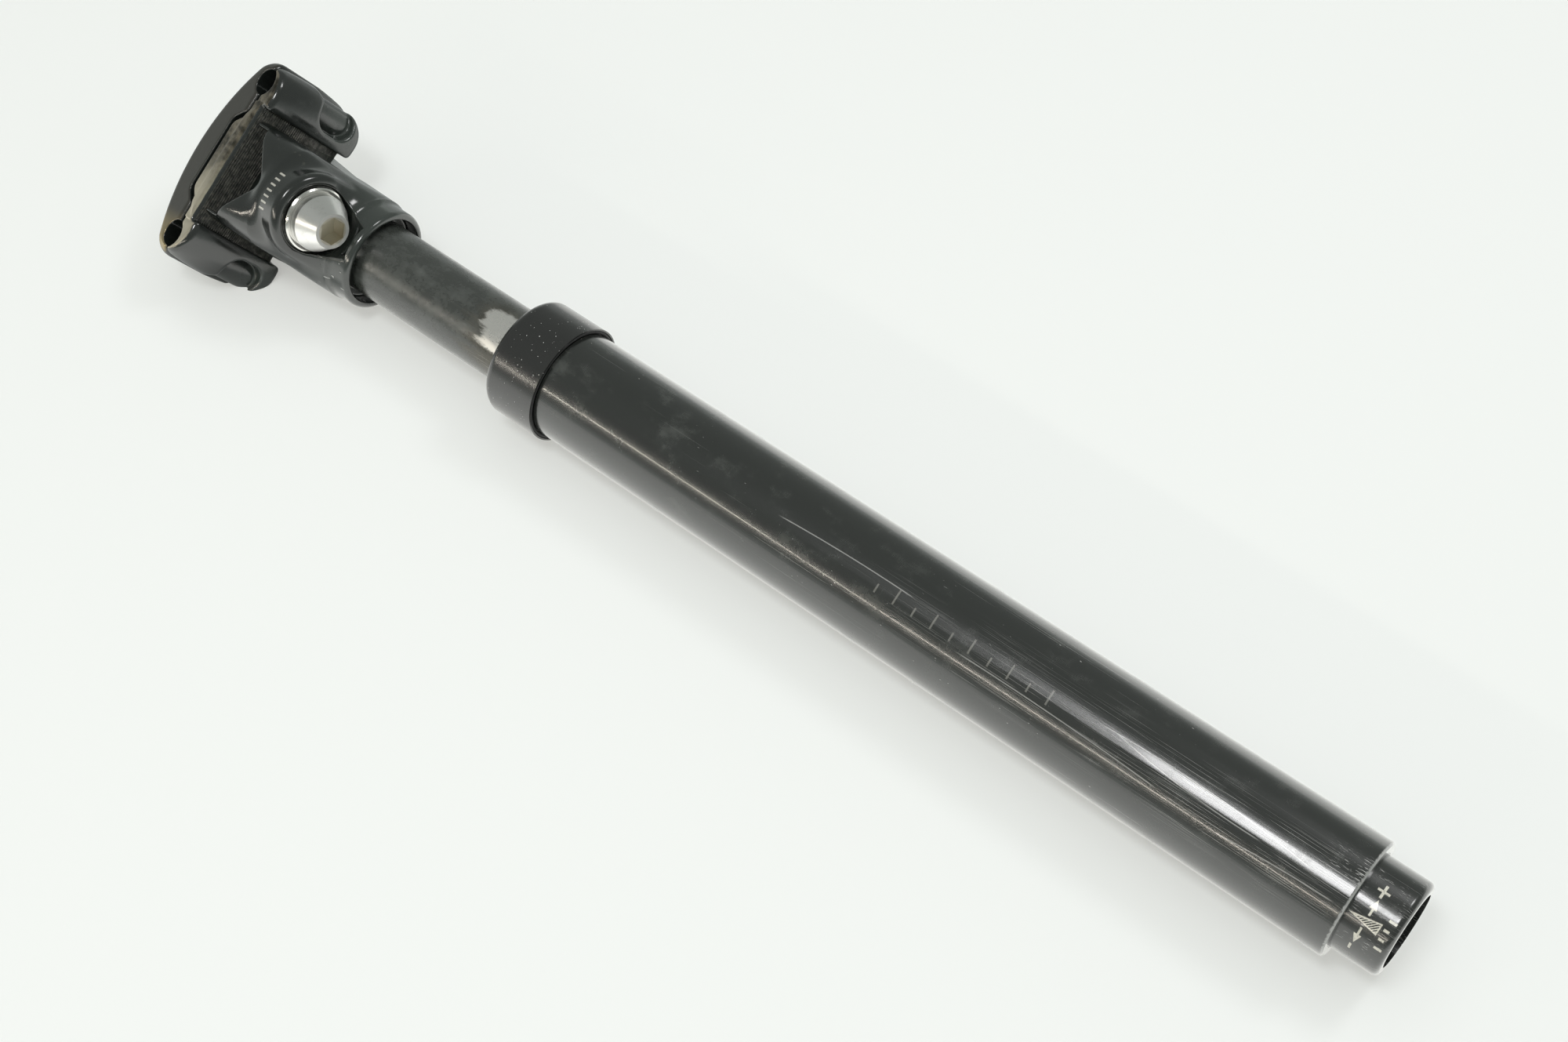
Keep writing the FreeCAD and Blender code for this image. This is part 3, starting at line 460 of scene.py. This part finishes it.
def make_teeth():
    """The fine teeth under the lower clamp: ridges that run across, side by side along the arc."""
    pitch = TOOTH_PITCH / TOOTH_TIP_RADIUS
    low, high = -math.asin(12.7 / TOOTH_TIP_RADIUS), math.asin(12.75 / TOOTH_TIP_RADIUS)
    count = int((high - low) / pitch)
    root = 28.6
    profile = []
    for tooth in range(count):
        for share, depth in ((0.0, 0.35), (0.12, 0.33), (0.42, 0.04), (0.5, 0.0), (0.58, 0.04), (0.88, 0.33)):
            angle = low + (tooth + share) * pitch
            profile.append((angle, TOOTH_TIP_RADIUS - depth))
    points = []
    for v in (-16.6, 16.6):
        for angle, reach in profile:
            points.append((reach * math.sin(angle), v, ARC_RADIUS - reach * math.cos(angle)))
        for angle, reach in reversed(profile):
            points.append((root * math.sin(angle), v, ARC_RADIUS - root * math.cos(angle)))
    n = len(profile)
    ring = 2 * n
    quads = []
    for i in range(ring):
        j = (i + 1) % ring
        quads.append((i, j, ring + j, ring + i))
    for i in range(n - 1):
        j = ring - 1 - i
        quads.append((i + 1, i, j, j - 1))
        quads.append((ring + i, ring + i + 1, ring + j - 1, ring + j))
    item = mesh_object("clamp_teeth", from_clamp(np.array(points)), quads, "rail_cradle", None)
    for polygon in item.data.polygons:
        polygon.use_smooth = False
    return item


teeth = make_teeth()


def make_spring():
    """The coil spring in two lengths that meet at the tube."""
    low, high = (corner[2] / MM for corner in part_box("main_spring"))
    turns, coil, wire = 9.5, 8.6, 1.58
    rounds, ring = 30, 12
    travel = high - low - 2.1 * wire
    pieces = []
    for name, bodies, first, last in (("spring_lower_coils", ("preload_seat", "post_tube"), 0.0, 2.5),
                                      ("spring_upper_coils", ("post_tube", "sliding_head"), 2.5, turns)):
        steps = int((last - first) * rounds)
        centres = []
        for n in range(steps + 1):
            turn = first + (last - first) * n / steps
            share = min(max((turn - 0.6) / (turns - 1.2), 0.0), 1.0)
            # the end coils lie almost flat
            rise = 0.035 * min(turn, 0.6) / 0.6 + 0.93 * share + 0.035 * max(turn - turns + 0.6, 0.0) / 0.6
            centres.append((2 * math.pi * turn, low + 1.05 * wire + travel * rise))
        points = []
        for angle, height in centres:
            for k in range(ring):
                round_wire = 2 * math.pi * k / ring
                reach = coil + wire * math.cos(round_wire)
                points.append((reach * math.cos(angle), reach * math.sin(angle),
                               height + wire * math.sin(round_wire)))
        quads = []
        for n in range(steps):
            for k in range(ring):
                a, b = n * ring + k, n * ring + (k + 1) % ring
                quads.append((a, b, b + ring, a + ring))
        mesh = bpy.data.meshes.new(name)
        ends = [tuple(reversed(range(ring))), tuple(range(steps * ring, (steps + 1) * ring))]
        mesh.from_pydata([tuple(c * MM for c in p) for p in points], [], quads + ends)
        mesh.shade_smooth()
        item = link(name, mesh)
        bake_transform(item)
        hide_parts("main_spring")
        pieces.append(item)
    return pieces


springs = make_spring()


# ---------------------------------------------------------------- materials


class Shading:
    """A material's node tree, built by short calls; numbers and sockets can be mixed as inputs."""

    def __init__(self, name):
        self.material = bpy.data.materials.new(name)
        self.material.use_nodes = True
        self.tree = self.material.node_tree
        self.shader = self.tree.nodes["Principled BSDF"]

    def feed(self, socket, value):
        if isinstance(value, bpy.types.NodeSocket):
            self.tree.links.new(value, socket)
        elif hasattr(socket.default_value, "__len__") and not hasattr(value, "__len__"):
            socket.default_value = [value] * len(socket.default_value)
        else:
            socket.default_value = value

    def node(self, kind, inputs=None, **settings):
        made = self.tree.nodes.new(kind)
        for key, value in settings.items():
            setattr(made, key, value)
        for key, value in (inputs or {}).items():
            self.feed(made.inputs[key], value)
        return made

    def math(self, operation, a, b=0.0, c=0.0, clamp=False):
        made = self.node("ShaderNodeMath", {0: a, 1: b, 2: c}, operation=operation)
        made.use_clamp = clamp
        return made.outputs[0]

    def times(self, a, b):
        return self.math("MULTIPLY", a, b)

    def plus(self, a, b):
        return self.math("ADD", a, b)

    def minus(self, a, b):
        return self.math("SUBTRACT", a, b)

    def place(self):
        return self.node("ShaderNodeTexCoord").outputs["Object"]

    def parts(self, vector):
        return self.node("ShaderNodeSeparateXYZ", {0: vector}).outputs

    def vector(self, x, y, z):
        return self.node("ShaderNodeCombineXYZ", {0: x, 1: y, 2: z}).outputs[0]

    def noise(self, vector, scale, detail=3.0, roughness=0.55, distortion=0.0):
        made = self.node("ShaderNodeTexNoise", {"Vector": vector, "Scale": scale, "Detail": detail,
                                                "Roughness": roughness, "Distortion": distortion})
        return made.outputs[0]

    def step(self, value, low, high, out_low=0.0, out_high=1.0):
        made = self.node("ShaderNodeMapRange", {0: value, 1: low, 2: high, 3: out_low, 4: out_high})
        made.interpolation_type = "SMOOTHSTEP"
        return made.outputs[0]

    def mix(self, share, a, b):
        made = self.tree.nodes.new("ShaderNodeMix")
        made.data_type = "RGBA"
        for index, value in ((0, share), (6, a), (7, b)):
            if hasattr(value, "__len__") and len(value) == 3:
                value = (*value, 1.0)
            self.feed(made.inputs[index], value)
        return made.outputs[2]

    def blend(self, share, a, b):
        """Plain number mix."""
        made = self.node("ShaderNodeMapRange", {0: share, 1: 0.0, 2: 1.0, 3: a, 4: b})
        return made.outputs[0]

    def most(self, *values):
        result = values[0]
        for value in values[1:]:
            result = self.math("MAXIMUM", result, value)
        return result

    def bump(self, height, distance, strength=1.0, under=None):
        inputs = {"Height": height, "Distance": distance, "Strength": strength}
        if under is not None:
            inputs["Normal"] = under
        return self.node("ShaderNodeBump", inputs).outputs[0]

    def finish(self, **sockets):
        for key, value in sockets.items():
            socket = self.shader.inputs[key.replace("_", " ")]
            if hasattr(value, "__len__") and len(value) == 3 and not isinstance(value, bpy.types.NodeSocket):
                value = (*value, 1.0)
            self.feed(socket, value)
        return self.material


def wrap(s, radius):
    """Unrolled coordinates of a turned part: millimetres round the girth and along the post, and the angle."""
    place = s.parts(s.place())
    angle = s.math("ARCTAN2", place[1], place[0])
    return s.times(angle, radius), s.times(place[2], 1000.0), angle


def speckle(s, around, along, per_around, per_along, seed, detail=1.0, roughness=0.55):
    """Noise on the unrolled surface, so many features to the millimetre each way."""
    place = s.vector(s.times(around, per_around), s.times(along, per_along), seed)
    return s.noise(place, 1.0, detail, roughness)


def scratches(s, around, along, width, length, limit, soft=0.02, seed=0.0):
    """Thin streaks along the post: a noise stretched to `length`, kept only above `limit`."""
    coords = s.vector(s.times(around, 1.0 / width), s.times(along, 1.0 / length), seed)
    return s.step(s.noise(coords, 1.0, 2.0, 0.5), limit, limit + soft)


def bar(s, around, along, low, high, bottom, top):
    """1 inside a plain rectangle on the unrolled surface, in millimetres."""
    soft = 0.12
    inside = s.times(s.step(around, low - soft, low), s.step(around, high + soft, high))
    inside = s.times(inside, s.step(along, bottom - soft, bottom))
    return s.times(inside, s.step(along, top + soft, top))


def triangle(s, around, along, corners):
    """1 inside a triangle on the unrolled surface; corners run anticlockwise."""
    inside = 1.0
    for n in range(3):
        (ax, ay), (bx, by) = corners[n], corners[(n + 1) % 3]
        length = math.hypot(bx - ax, by - ay)
        nx, ny = -(by - ay) / length, (bx - ax) / length
        reach = s.plus(s.times(around, nx), s.times(along, ny))
        inside = s.times(inside, s.step(reach, ax * nx + ay * ny - 0.06, ax * nx + ay * ny + 0.06))
    return inside


def long_scratch(s, around, along, low, high, at, lean, bow):
    """One bowed hairline scratch between two heights; `at` is its place round the girth at the low end."""
    rise = s.minus(along, low)
    share = s.times(rise, 1.0 / (high - low))
    curve = s.times(s.times(share, s.minus(1.0, share)), bow * 4.0)
    line = s.plus(s.math("MULTIPLY_ADD", share, lean, at), curve)
    off = s.math("ABSOLUTE", s.minus(around, line))
    inside = s.times(s.step(off, 0.16, 0.07), s.step(share, 0.0, 0.08))
    return s.times(inside, s.step(share, 1.0, 0.9))


def adjuster_marks(s, around, along):
    """Plus and minus signs, two arrows and a hatched wedge, with plain bars along the edge."""
    marks = [bar(s, around, along, 3.1, 6.0, -4.3, -3.85), bar(s, around, along, 4.35, 4.75, -5.4, -2.8),
             bar(s, around, along, -1.0, 1.2, -4.35, -4.0),
             triangle(s, around, along, ((0.4, -3.3), (0.4, -5.0), (2.6, -4.15))),
             bar(s, around, along, -6.0, -3.9, -4.35, -4.0),
             triangle(s, around, along, ((-5.6, -5.0), (-5.6, -3.3), (-7.8, -4.1))),
             bar(s, around, along, -10.0, -8.5, -4.0, -3.6)]
    wedge = triangle(s, around, along, ((-2.3, -0.3), (-3.7, -7.2), (-1.0, -7.3)))
    inner = triangle(s, around, along, ((-2.33, -1.9), (-3.35, -6.9), (-1.35, -7.0)))
    stripes = s.math("FRACT", s.times(s.plus(around, along), 1.5))
    hatch = s.step(stripes, 0.35, 0.5)
    marks.append(s.times(wedge, s.minus(1.0, s.times(inner, hatch))))
    for n, length in enumerate((1.6, 1.1, 1.1, 1.6)):
        low = -6.2 + 2.1 * n
        marks.append(bar(s, around, along, low, low + 0.45, -7.95 - length, -7.95))
    return s.most(*marks)


def tube_marks(s, around, along):
    """A short etched scale half way down the tube, one tick every 5 mm."""
    marks = []
    for n in range(10):
        reach = 3.4 if n % 2 == 0 else 2.0
        marks.append(bar(s, around, along, -1.2, -1.2 + reach, 72.0 + 5.0 * n, 72.3 + 5.0 * n))
    return s.most(*marks)


BARE_METAL = (0.62, 0.62, 0.6)
CHIPPED = (0.6, 0.6, 0.58)
# low end, high end, place round the girth, lean and bow of the tube's long scratches, in millimetres
LONG_SCRATCHES = ((8.0, 62.0, 0.4, 1.2, 1.3), (20.0, 58.0, -0.4, 2.6, -0.9), (42.0, 96.0, -3.2, 0.9, 0.5),
                  (2.0, 30.0, -2.6, -1.6, 0.4), (108.0, 146.0, 2.4, -1.0, 0.4))


def black_tube(name, radius, kind="tube"):
    """Gloss black over turned metal, dusty above, scratched along its length towards the low end; the fine
    scratches are painted glints, drawn only where the softbox highlight falls.
    """
    s = Shading(name)
    around, along, _ = wrap(s, radius)
    flat = s.vector(around, along, 0.0)
    low_end = s.step(along, 150.0, 0.0)
    highlight_lane = s.step(s.math("ABSOLUTE", s.plus(around, 1.0)), 11.0, 2.0)
    patch = s.step(speckle(s, around, along, 0.06, 0.012, 3.0, 2.0), 0.42, 0.62)
    fine = scratches(s, around, along, 0.16, 24.0, 0.58, 0.12)
    long_ones = scratches(s, around, along, 0.2, 55.0, 0.70, 0.03, 7.3)
    chips = s.step(speckle(s, around, along, 2.2, 0.7, 11.0), 0.76, 0.79)
    # painted glints: the fine scratches, real marks, are drawn bright only towards the low end and in the lane
    # round the girth where the softbox highlight falls
    wear_and_glints = s.times(fine, s.times(s.times(low_end, highlight_lane), 0.7 if kind == "tube" else 0.12))
    wear_and_glints = s.most(wear_and_glints, s.times(long_ones, s.times(patch, s.math("ADD", low_end, 0.25, clamp=True))),
                  s.times(chips, s.times(patch, 0.8)))
    nicks = scratches(s, around, along, 0.16, 2.6, 0.62, 0.05, 4.0)
    if kind == "tube":
        by_edge = s.times(s.step(along, 11.0, 3.0), s.step(s.math("ABSOLUTE", s.minus(around, 5.6)), 4.5, 2.0))
        wear_and_glints = s.most(wear_and_glints, s.times(nicks, by_edge))
        for low, high, at, lean, bow in LONG_SCRATCHES:
            wear_and_glints = s.most(wear_and_glints, s.times(long_scratch(s, around, along, low, high, at, lean, bow), 0.5))
        burr = s.noise(s.vector(s.times(around, 1.1), 0.0, 6.0), 1.0, 3.0, 0.7)
        rim = s.step(s.plus(along, s.times(s.minus(burr, 0.5), 1.2)), 0.6, 0.25)
        wear_and_glints = s.most(wear_and_glints, s.times(rim, 0.6))
    else:
        burred = s.step(speckle(s, around, along, 0.25, 0.25, 2.0), 0.5, 0.62)
        wear_and_glints = s.most(wear_and_glints, s.times(nicks, s.times(burred, 0.7)))
    rings = s.noise(s.vector(0.0, s.times(along, 3.6), 0.0), 1.0, 2.0, 0.6)
    smudge = speckle(s, around, along, 0.16, 0.11, 5.0, 5.0, 0.65)
    cloud = s.step(smudge, 0.5, 0.75)
    dusty = s.math("MULTIPLY_ADD", s.step(along, 80.0, 190.0), 0.5, 0.4)
    colour = s.mix(s.times(cloud, dusty), (0.0118, 0.0134, 0.0117), (0.046, 0.050, 0.045))
    colour = s.mix(s.times(wear_and_glints, 0.85), colour, BARE_METAL)
    marks = adjuster_marks(s, around, along) if kind == "adjuster" else tube_marks(s, around, along)
    grain = s.step(s.noise(flat, 2.6, 3.0, 0.6), 0.3, 0.5)
    marks = s.times(marks, s.plus(s.times(grain, 0.45), 0.5))
    ink = (0.72, 0.69, 0.6) if kind == "adjuster" else (0.17, 0.165, 0.15)
    colour = s.mix(marks, colour, ink)
    rough = s.blend(cloud, 0.24, 0.33)
    rough = s.plus(rough, s.times(s.minus(rings, 0.5), 0.08))
    height = s.plus(s.times(rings, 0.6), s.times(wear_and_glints, -0.5))
    height = s.plus(height, s.times(scratches(s, around, along, 0.3, 40.0, 0.3, 0.5, 2.0), 0.5))
    normal = s.bump(height, 0.00001, 0.8)
    return s.finish(Base_Color=colour, Roughness=rough, Normal=normal, IOR=1.7,
                    Coat_Weight=0.5, Coat_Roughness=0.07)


def black_collar():
    """Gloss black with a few chips along the collar's lower edge."""
    s = Shading("collar_black")
    around, along, _ = wrap(s, COLLAR_RADIUS)
    edge_low = s.step(along, 217.6, 214.2)
    spots = s.step(speckle(s, around, along, 1.3, 1.5, 1.0, 2.0), 0.66, 0.7)
    patch = s.step(s.noise(s.vector(s.times(around, 0.12), 0.0, 8.0), 1.0, 1.0), 0.5, 0.62)
    chips = s.times(spots, s.times(edge_low, patch))
    specks = s.step(speckle(s, around, along, 2.6, 2.6, 2.0, 0.0), 0.81, 0.83)
    chips = s.most(chips, s.times(specks, 0.8))
    rings = s.noise(s.vector(0.0, s.times(along, 5.0), 0.0), 1.0, 2.0, 0.6)
    colour = s.mix(chips, (0.0095, 0.0095, 0.009), (0.7, 0.7, 0.68))
    height = s.minus(s.times(rings, 0.4), chips)
    return s.finish(Base_Color=colour, Roughness=s.blend(chips, 0.24, 0.45),
                    Normal=s.bump(height, 0.00001, 0.8), IOR=1.8)


def rod_finish():
    """Dark anodising, clouded, worn through to bare metal at the rear just above the collar."""
    s = Shading("rod_worn_anodising")
    around, along, angle = wrap(s, ROD_RADIUS)
    near = s.step(along, 247.0, 230.5)
    side = s.step(s.math("ABSOLUTE", s.minus(angle, 0.12)), 0.95, 0.3)
    ragged = speckle(s, around, along, 0.35, 0.1, 0.0, 4.0, 0.7)
    worn = s.times(near, side)
    worn = s.step(s.plus(worn, s.times(s.minus(ragged, 0.5), 0.9)), 0.5, 0.72)
    halo = s.step(s.plus(s.step(along, 256.0, 230.0), s.minus(ragged, 0.5)), 0.45, 0.95)
    halo = s.times(halo, s.step(s.math("ABSOLUTE", s.plus(angle, 0.2)), 1.5, 0.4))
    cloud = s.step(speckle(s, around, along, 0.22, 0.16, 4.0, 7.0, 0.75), 0.42, 0.8)
    streak = scratches(s, around, along, 0.22, 16.0, 0.6, 0.1, 1.0)
    colour = s.mix(s.times(cloud, 0.6), (0.034, 0.0375, 0.0335), (0.13, 0.14, 0.13))
    colour = s.mix(s.times(halo, 0.6), colour, (0.10, 0.088, 0.066))
    colour = s.mix(s.times(streak, s.plus(s.times(halo, 0.5), 0.04)), colour, (0.4, 0.38, 0.33))
    colour = s.mix(worn, colour, (0.62, 0.61, 0.58))
    metal = s.most(s.times(worn, 0.7), s.times(halo, 0.45))
    rough = s.blend(cloud, 0.26, 0.42)
    height = s.plus(scratches(s, around, along, 0.12, 12.0, 0.35, 0.4, 9.0), s.times(worn, -1.0))
    return s.finish(Base_Color=colour, Metallic=metal, Roughness=rough,
                    Normal=s.bump(height, 0.000008, 0.8), IOR=1.75)


def rail_reach(s, parts):
    """How far to the rear of the toothed arc's lowest point, in millimetres along the rails."""
    reach = s.plus(s.times(parts[0], COS * 1000.0), s.times(parts[2], SIN * 1000.0))
    return s.minus(reach, ARC_LOW[0] * COS + ARC_LOW[1] * SIN)


def rear_facing(s):
    """1 where the surface faces the rear end of the rails, 0 where it lies along them."""
    normal = s.node("ShaderNodeTexCoord").outputs["Normal"]
    return s.node("ShaderNodeVectorMath", {0: normal, 1: (COS, 0.0, SIN)}, operation="DOT_PRODUCT").outputs[1]


def casting_paint(name, tan_rear_face_and_painted_highlight=False, marks=False, golden_rear_face_and_painted_highlight=False):
    """Gloss black over a forging, with orange peel and chips.

    `marks` draws the head's ticks; the two rear-face options give a clamp's rear face worn metal, each with a
    painted highlight on one side. Towards the front of the rails the paint is drawn lighter and greener, a
    painted reflection."""
    s = Shading(name)
    space = s.place()
    peel = s.noise(space, 900.0, 2.0, 0.5)
    wave = s.noise(space, 160.0, 2.0, 0.5)
    chips = s.step(s.noise(space, 1500.0, 2.0, 0.6), 0.755, 0.775)
    chips = s.times(chips, s.step(s.noise(space, 120.0, 2.0), 0.52, 0.62))
    pointy = s.node("ShaderNodeNewGeometry").outputs["Pointiness"]
    edge = s.step(s.plus(pointy, s.times(s.minus(s.noise(space, 450.0, 3.0), 0.5), 0.06)),
                  0.57, 0.63)
    colour = s.mix(s.times(edge, 0.35), (0.0098, 0.0118, 0.0104), (0.07, 0.068, 0.058))
    dust = s.step(s.noise(space, 240.0, 5.0, 0.7), 0.55, 0.75)
    colour = s.mix(s.times(dust, 0.25), colour, (0.05, 0.055, 0.052))
    rough = s.blend(dust, 0.16, 0.3)
    at = s.parts(space)
    reach = rail_reach(s, at)
    # painted reflection: towards the front of the rails the paint turns lighter and greener, standing in for
    # the bright gradient the castings reflect there
    colour = s.mix(s.step(reach, 2.0, -13.0), colour, (0.034, 0.041, 0.036))
    if marks:
        up = s.minus(s.times(at[2], 1000.0), 298.9)
        beside_axis = s.times(at[1], 1000.0)
        ticks = [bar(s, beside_axis, up, place, place + 0.35, -1.2, 0.9)
                 for place in (-4.7, -3.1, -1.5, 0.1, 1.7, 3.3, 4.9)]
        scale = s.times(s.most(*ticks), s.step(reach, 6.0, 7.0))
        colour = s.mix(s.times(scale, 0.8), colour, (0.6, 0.58, 0.52))
        hair = s.step(s.noise(s.vector(s.times(up, 0.35), s.times(beside_axis, 1.6), 5.0), 1.0, 1.0),
                      0.68, 0.71)
        hair = s.times(hair, s.times(s.step(up, -12.0, -16.0), s.step(beside_axis, -4.0, -6.5)))
        chips = s.most(chips, hair)
    metal = 0.0
    if golden_rear_face_and_painted_highlight:
        face = s.step(rear_facing(s), 0.3, 0.8)
        across = s.plus(s.times(at[1], 1000.0), s.times(s.noise(space, 90.0, 3.0), 6.0))
        # painted highlight: on one side of the rear face a bright golden, partly metallic patch stands in for
        # light caught there, over metal worn bare
        worn_metal_and_painted_highlight = s.times(face, s.step(across, -13.0, -21.0))
        colour = s.mix(s.times(face, 0.8), colour, (0.036, 0.032, 0.026))
        colour = s.mix(s.times(worn_metal_and_painted_highlight, 0.7), colour, (0.42, 0.34, 0.19))
        metal = s.plus(s.times(face, 0.2), s.times(worn_metal_and_painted_highlight, 0.5))
        rough = s.plus(rough, s.times(face, 0.12))
    if tan_rear_face_and_painted_highlight:
        rear = rear_facing(s)
        grain = s.minus(s.noise(space, 380.0, 4.0, 0.6), 0.5)
        bare = s.step(s.plus(rear, s.times(grain, 0.25)), 0.8, 0.95)
        bare = s.times(bare, s.step(reach, 10.6, 11.6))
        mottle = s.step(s.noise(space, 260.0, 4.0, 0.6), 0.35, 0.65)
        tone = s.mix(mottle, (0.03, 0.026, 0.018), (0.24, 0.21, 0.16))
        # painted highlight: the worn, bare face is drawn much lighter on its negative-y side, standing in for
        # light caught there
        tone = s.mix(s.times(s.step(at[1], 0.004, -0.012), 0.7), tone, (0.66, 0.6, 0.48))
        colour = s.mix(bare, colour, tone)
        metal = s.times(bare, 0.75)
        rough = s.plus(rough, s.times(bare, 0.2))
    colour = s.mix(s.times(chips, 0.9), colour, CHIPPED)
    height = s.plus(s.times(peel, 0.35), s.times(wave, 1.0))
    height = s.minus(height, chips)
    return s.finish(Base_Color=colour, Metallic=metal, Roughness=rough,
                    Normal=s.bump(height, 0.00006, 0.5), IOR=1.75)


def bright_steel(name, colour=(0.8, 0.79, 0.77), rough=0.2):
    s = Shading(name)
    space = s.place()
    parts = s.parts(space)
    along = s.plus(s.times(parts[0], -SIN * 1000.0), s.times(parts[2], COS * 1000.0))
    rings = s.noise(s.vector(0.0, 0.0, s.times(along, 6.0)), 1.0, 3.0, 0.7)
    grime = s.step(s.noise(space, 500.0, 4.0, 0.65), 0.52, 0.75)
    tone = s.mix(s.times(grime, 0.35), colour, (0.34, 0.32, 0.28))
    across = rail_reach(s, parts)
    side = s.times(parts[1], 1000.0)
    reach = s.math("SQRT", s.plus(s.times(across, across), s.times(side, side)))
    # painted shade: inside the hex socket the steel is toned darker and warmer than the rest of the bolt
    tone = s.mix(s.step(reach, 3.7, 3.45), tone, (0.66, 0.62, 0.53))
    return s.finish(Base_Color=tone, Metallic=1.0, Roughness=s.blend(grime, rough, rough + 0.16),
                    Normal=s.bump(rings, 0.00001, 0.6))


def plain_solid(name, colour, darker, rough, scale=600.0, metallic=0.0):
    s = Shading(name)
    space = s.place()
    cloud = s.noise(space, scale, 4.0, 0.6)
    tone = s.mix(s.step(cloud, 0.35, 0.7), colour, darker)
    return s.finish(Base_Color=tone, Roughness=s.blend(cloud, rough, rough + 0.15), Metallic=metallic,
                    Normal=s.bump(cloud, 0.00003, 0.6))


def dress(item, material):
    item.data.materials.clear()
    item.data.materials.append(material)


rubber = plain_solid("black_rubber", (0.02, 0.02, 0.02), (0.035, 0.035, 0.035), 0.6)
spring_steel = plain_solid("spring_steel", (0.42, 0.42, 0.43), (0.22, 0.22, 0.23), 0.28, 300.0, 1.0)
paint = casting_paint("casting_paint", marks=True)
LOOKS = {
    "outer_tube": black_tube("tube_black", TUBE_RADIUS),
    "collar_nut": black_collar(),
    "wiper_seal": rubber,
    "collar_o_ring": rubber,
    "upper_bushing": plain_solid("grey_acetal", (0.3, 0.3, 0.31), (0.36, 0.36, 0.37), 0.4),
    "inner_rod": rod_finish(),
    "rod_keys": plain_solid("brass_key", (0.7, 0.52, 0.24), (0.5, 0.36, 0.16), 0.3, 400.0, 1.0),
    "lower_bushing": plain_solid("grey_acetal_lower", (0.3, 0.3, 0.31), (0.36, 0.36, 0.37), 0.4),
    "top_out_bumper": rubber,
    "rod_circlip": spring_steel,
    "spring_upper_seat": plain_solid("black_nylon", (0.03, 0.03, 0.03), (0.05, 0.05, 0.05), 0.45),
    "spring_guide": plain_solid("black_nylon_guide", (0.03, 0.03, 0.03), (0.05, 0.05, 0.05), 0.45),
    "spring_lower_seat": plain_solid("black_nylon_seat", (0.03, 0.03, 0.03), (0.05, 0.05, 0.05), 0.45),
    "bottom_out_bumper": plain_solid("amber_elastomer", (0.7, 0.42, 0.06), (0.55, 0.3, 0.04), 0.35),
    "preload_adjuster": black_tube("adjuster_black", ADJUSTER_RADIUS, "adjuster"),
    "clamp_bolt": bright_steel("bolt_polished", (0.8, 0.79, 0.77), 0.3),
    "bolt_washer": bright_steel("washer_polished", (0.7, 0.69, 0.66), 0.16),
    "clamp_nut": plain_solid("zinc_nut", (0.5, 0.5, 0.47), (0.32, 0.31, 0.28), 0.35, 500.0, 1.0),
}
for node_name, look in LOOKS.items():
    dress(nodes[node_name], look)
for spring in springs:
    dress(spring, spring_steel)
dress(head_piece, paint)
dress(lower_piece, casting_paint("lower_clamp_paint", tan_rear_face_and_painted_highlight=True))
dress(upper_piece, casting_paint("upper_clamp_paint", golden_rear_face_and_painted_highlight=True))
dress(teeth, plain_solid("teeth_dark", (0.045, 0.046, 0.042), (0.14, 0.137, 0.12), 0.3, 900.0, 0.6))
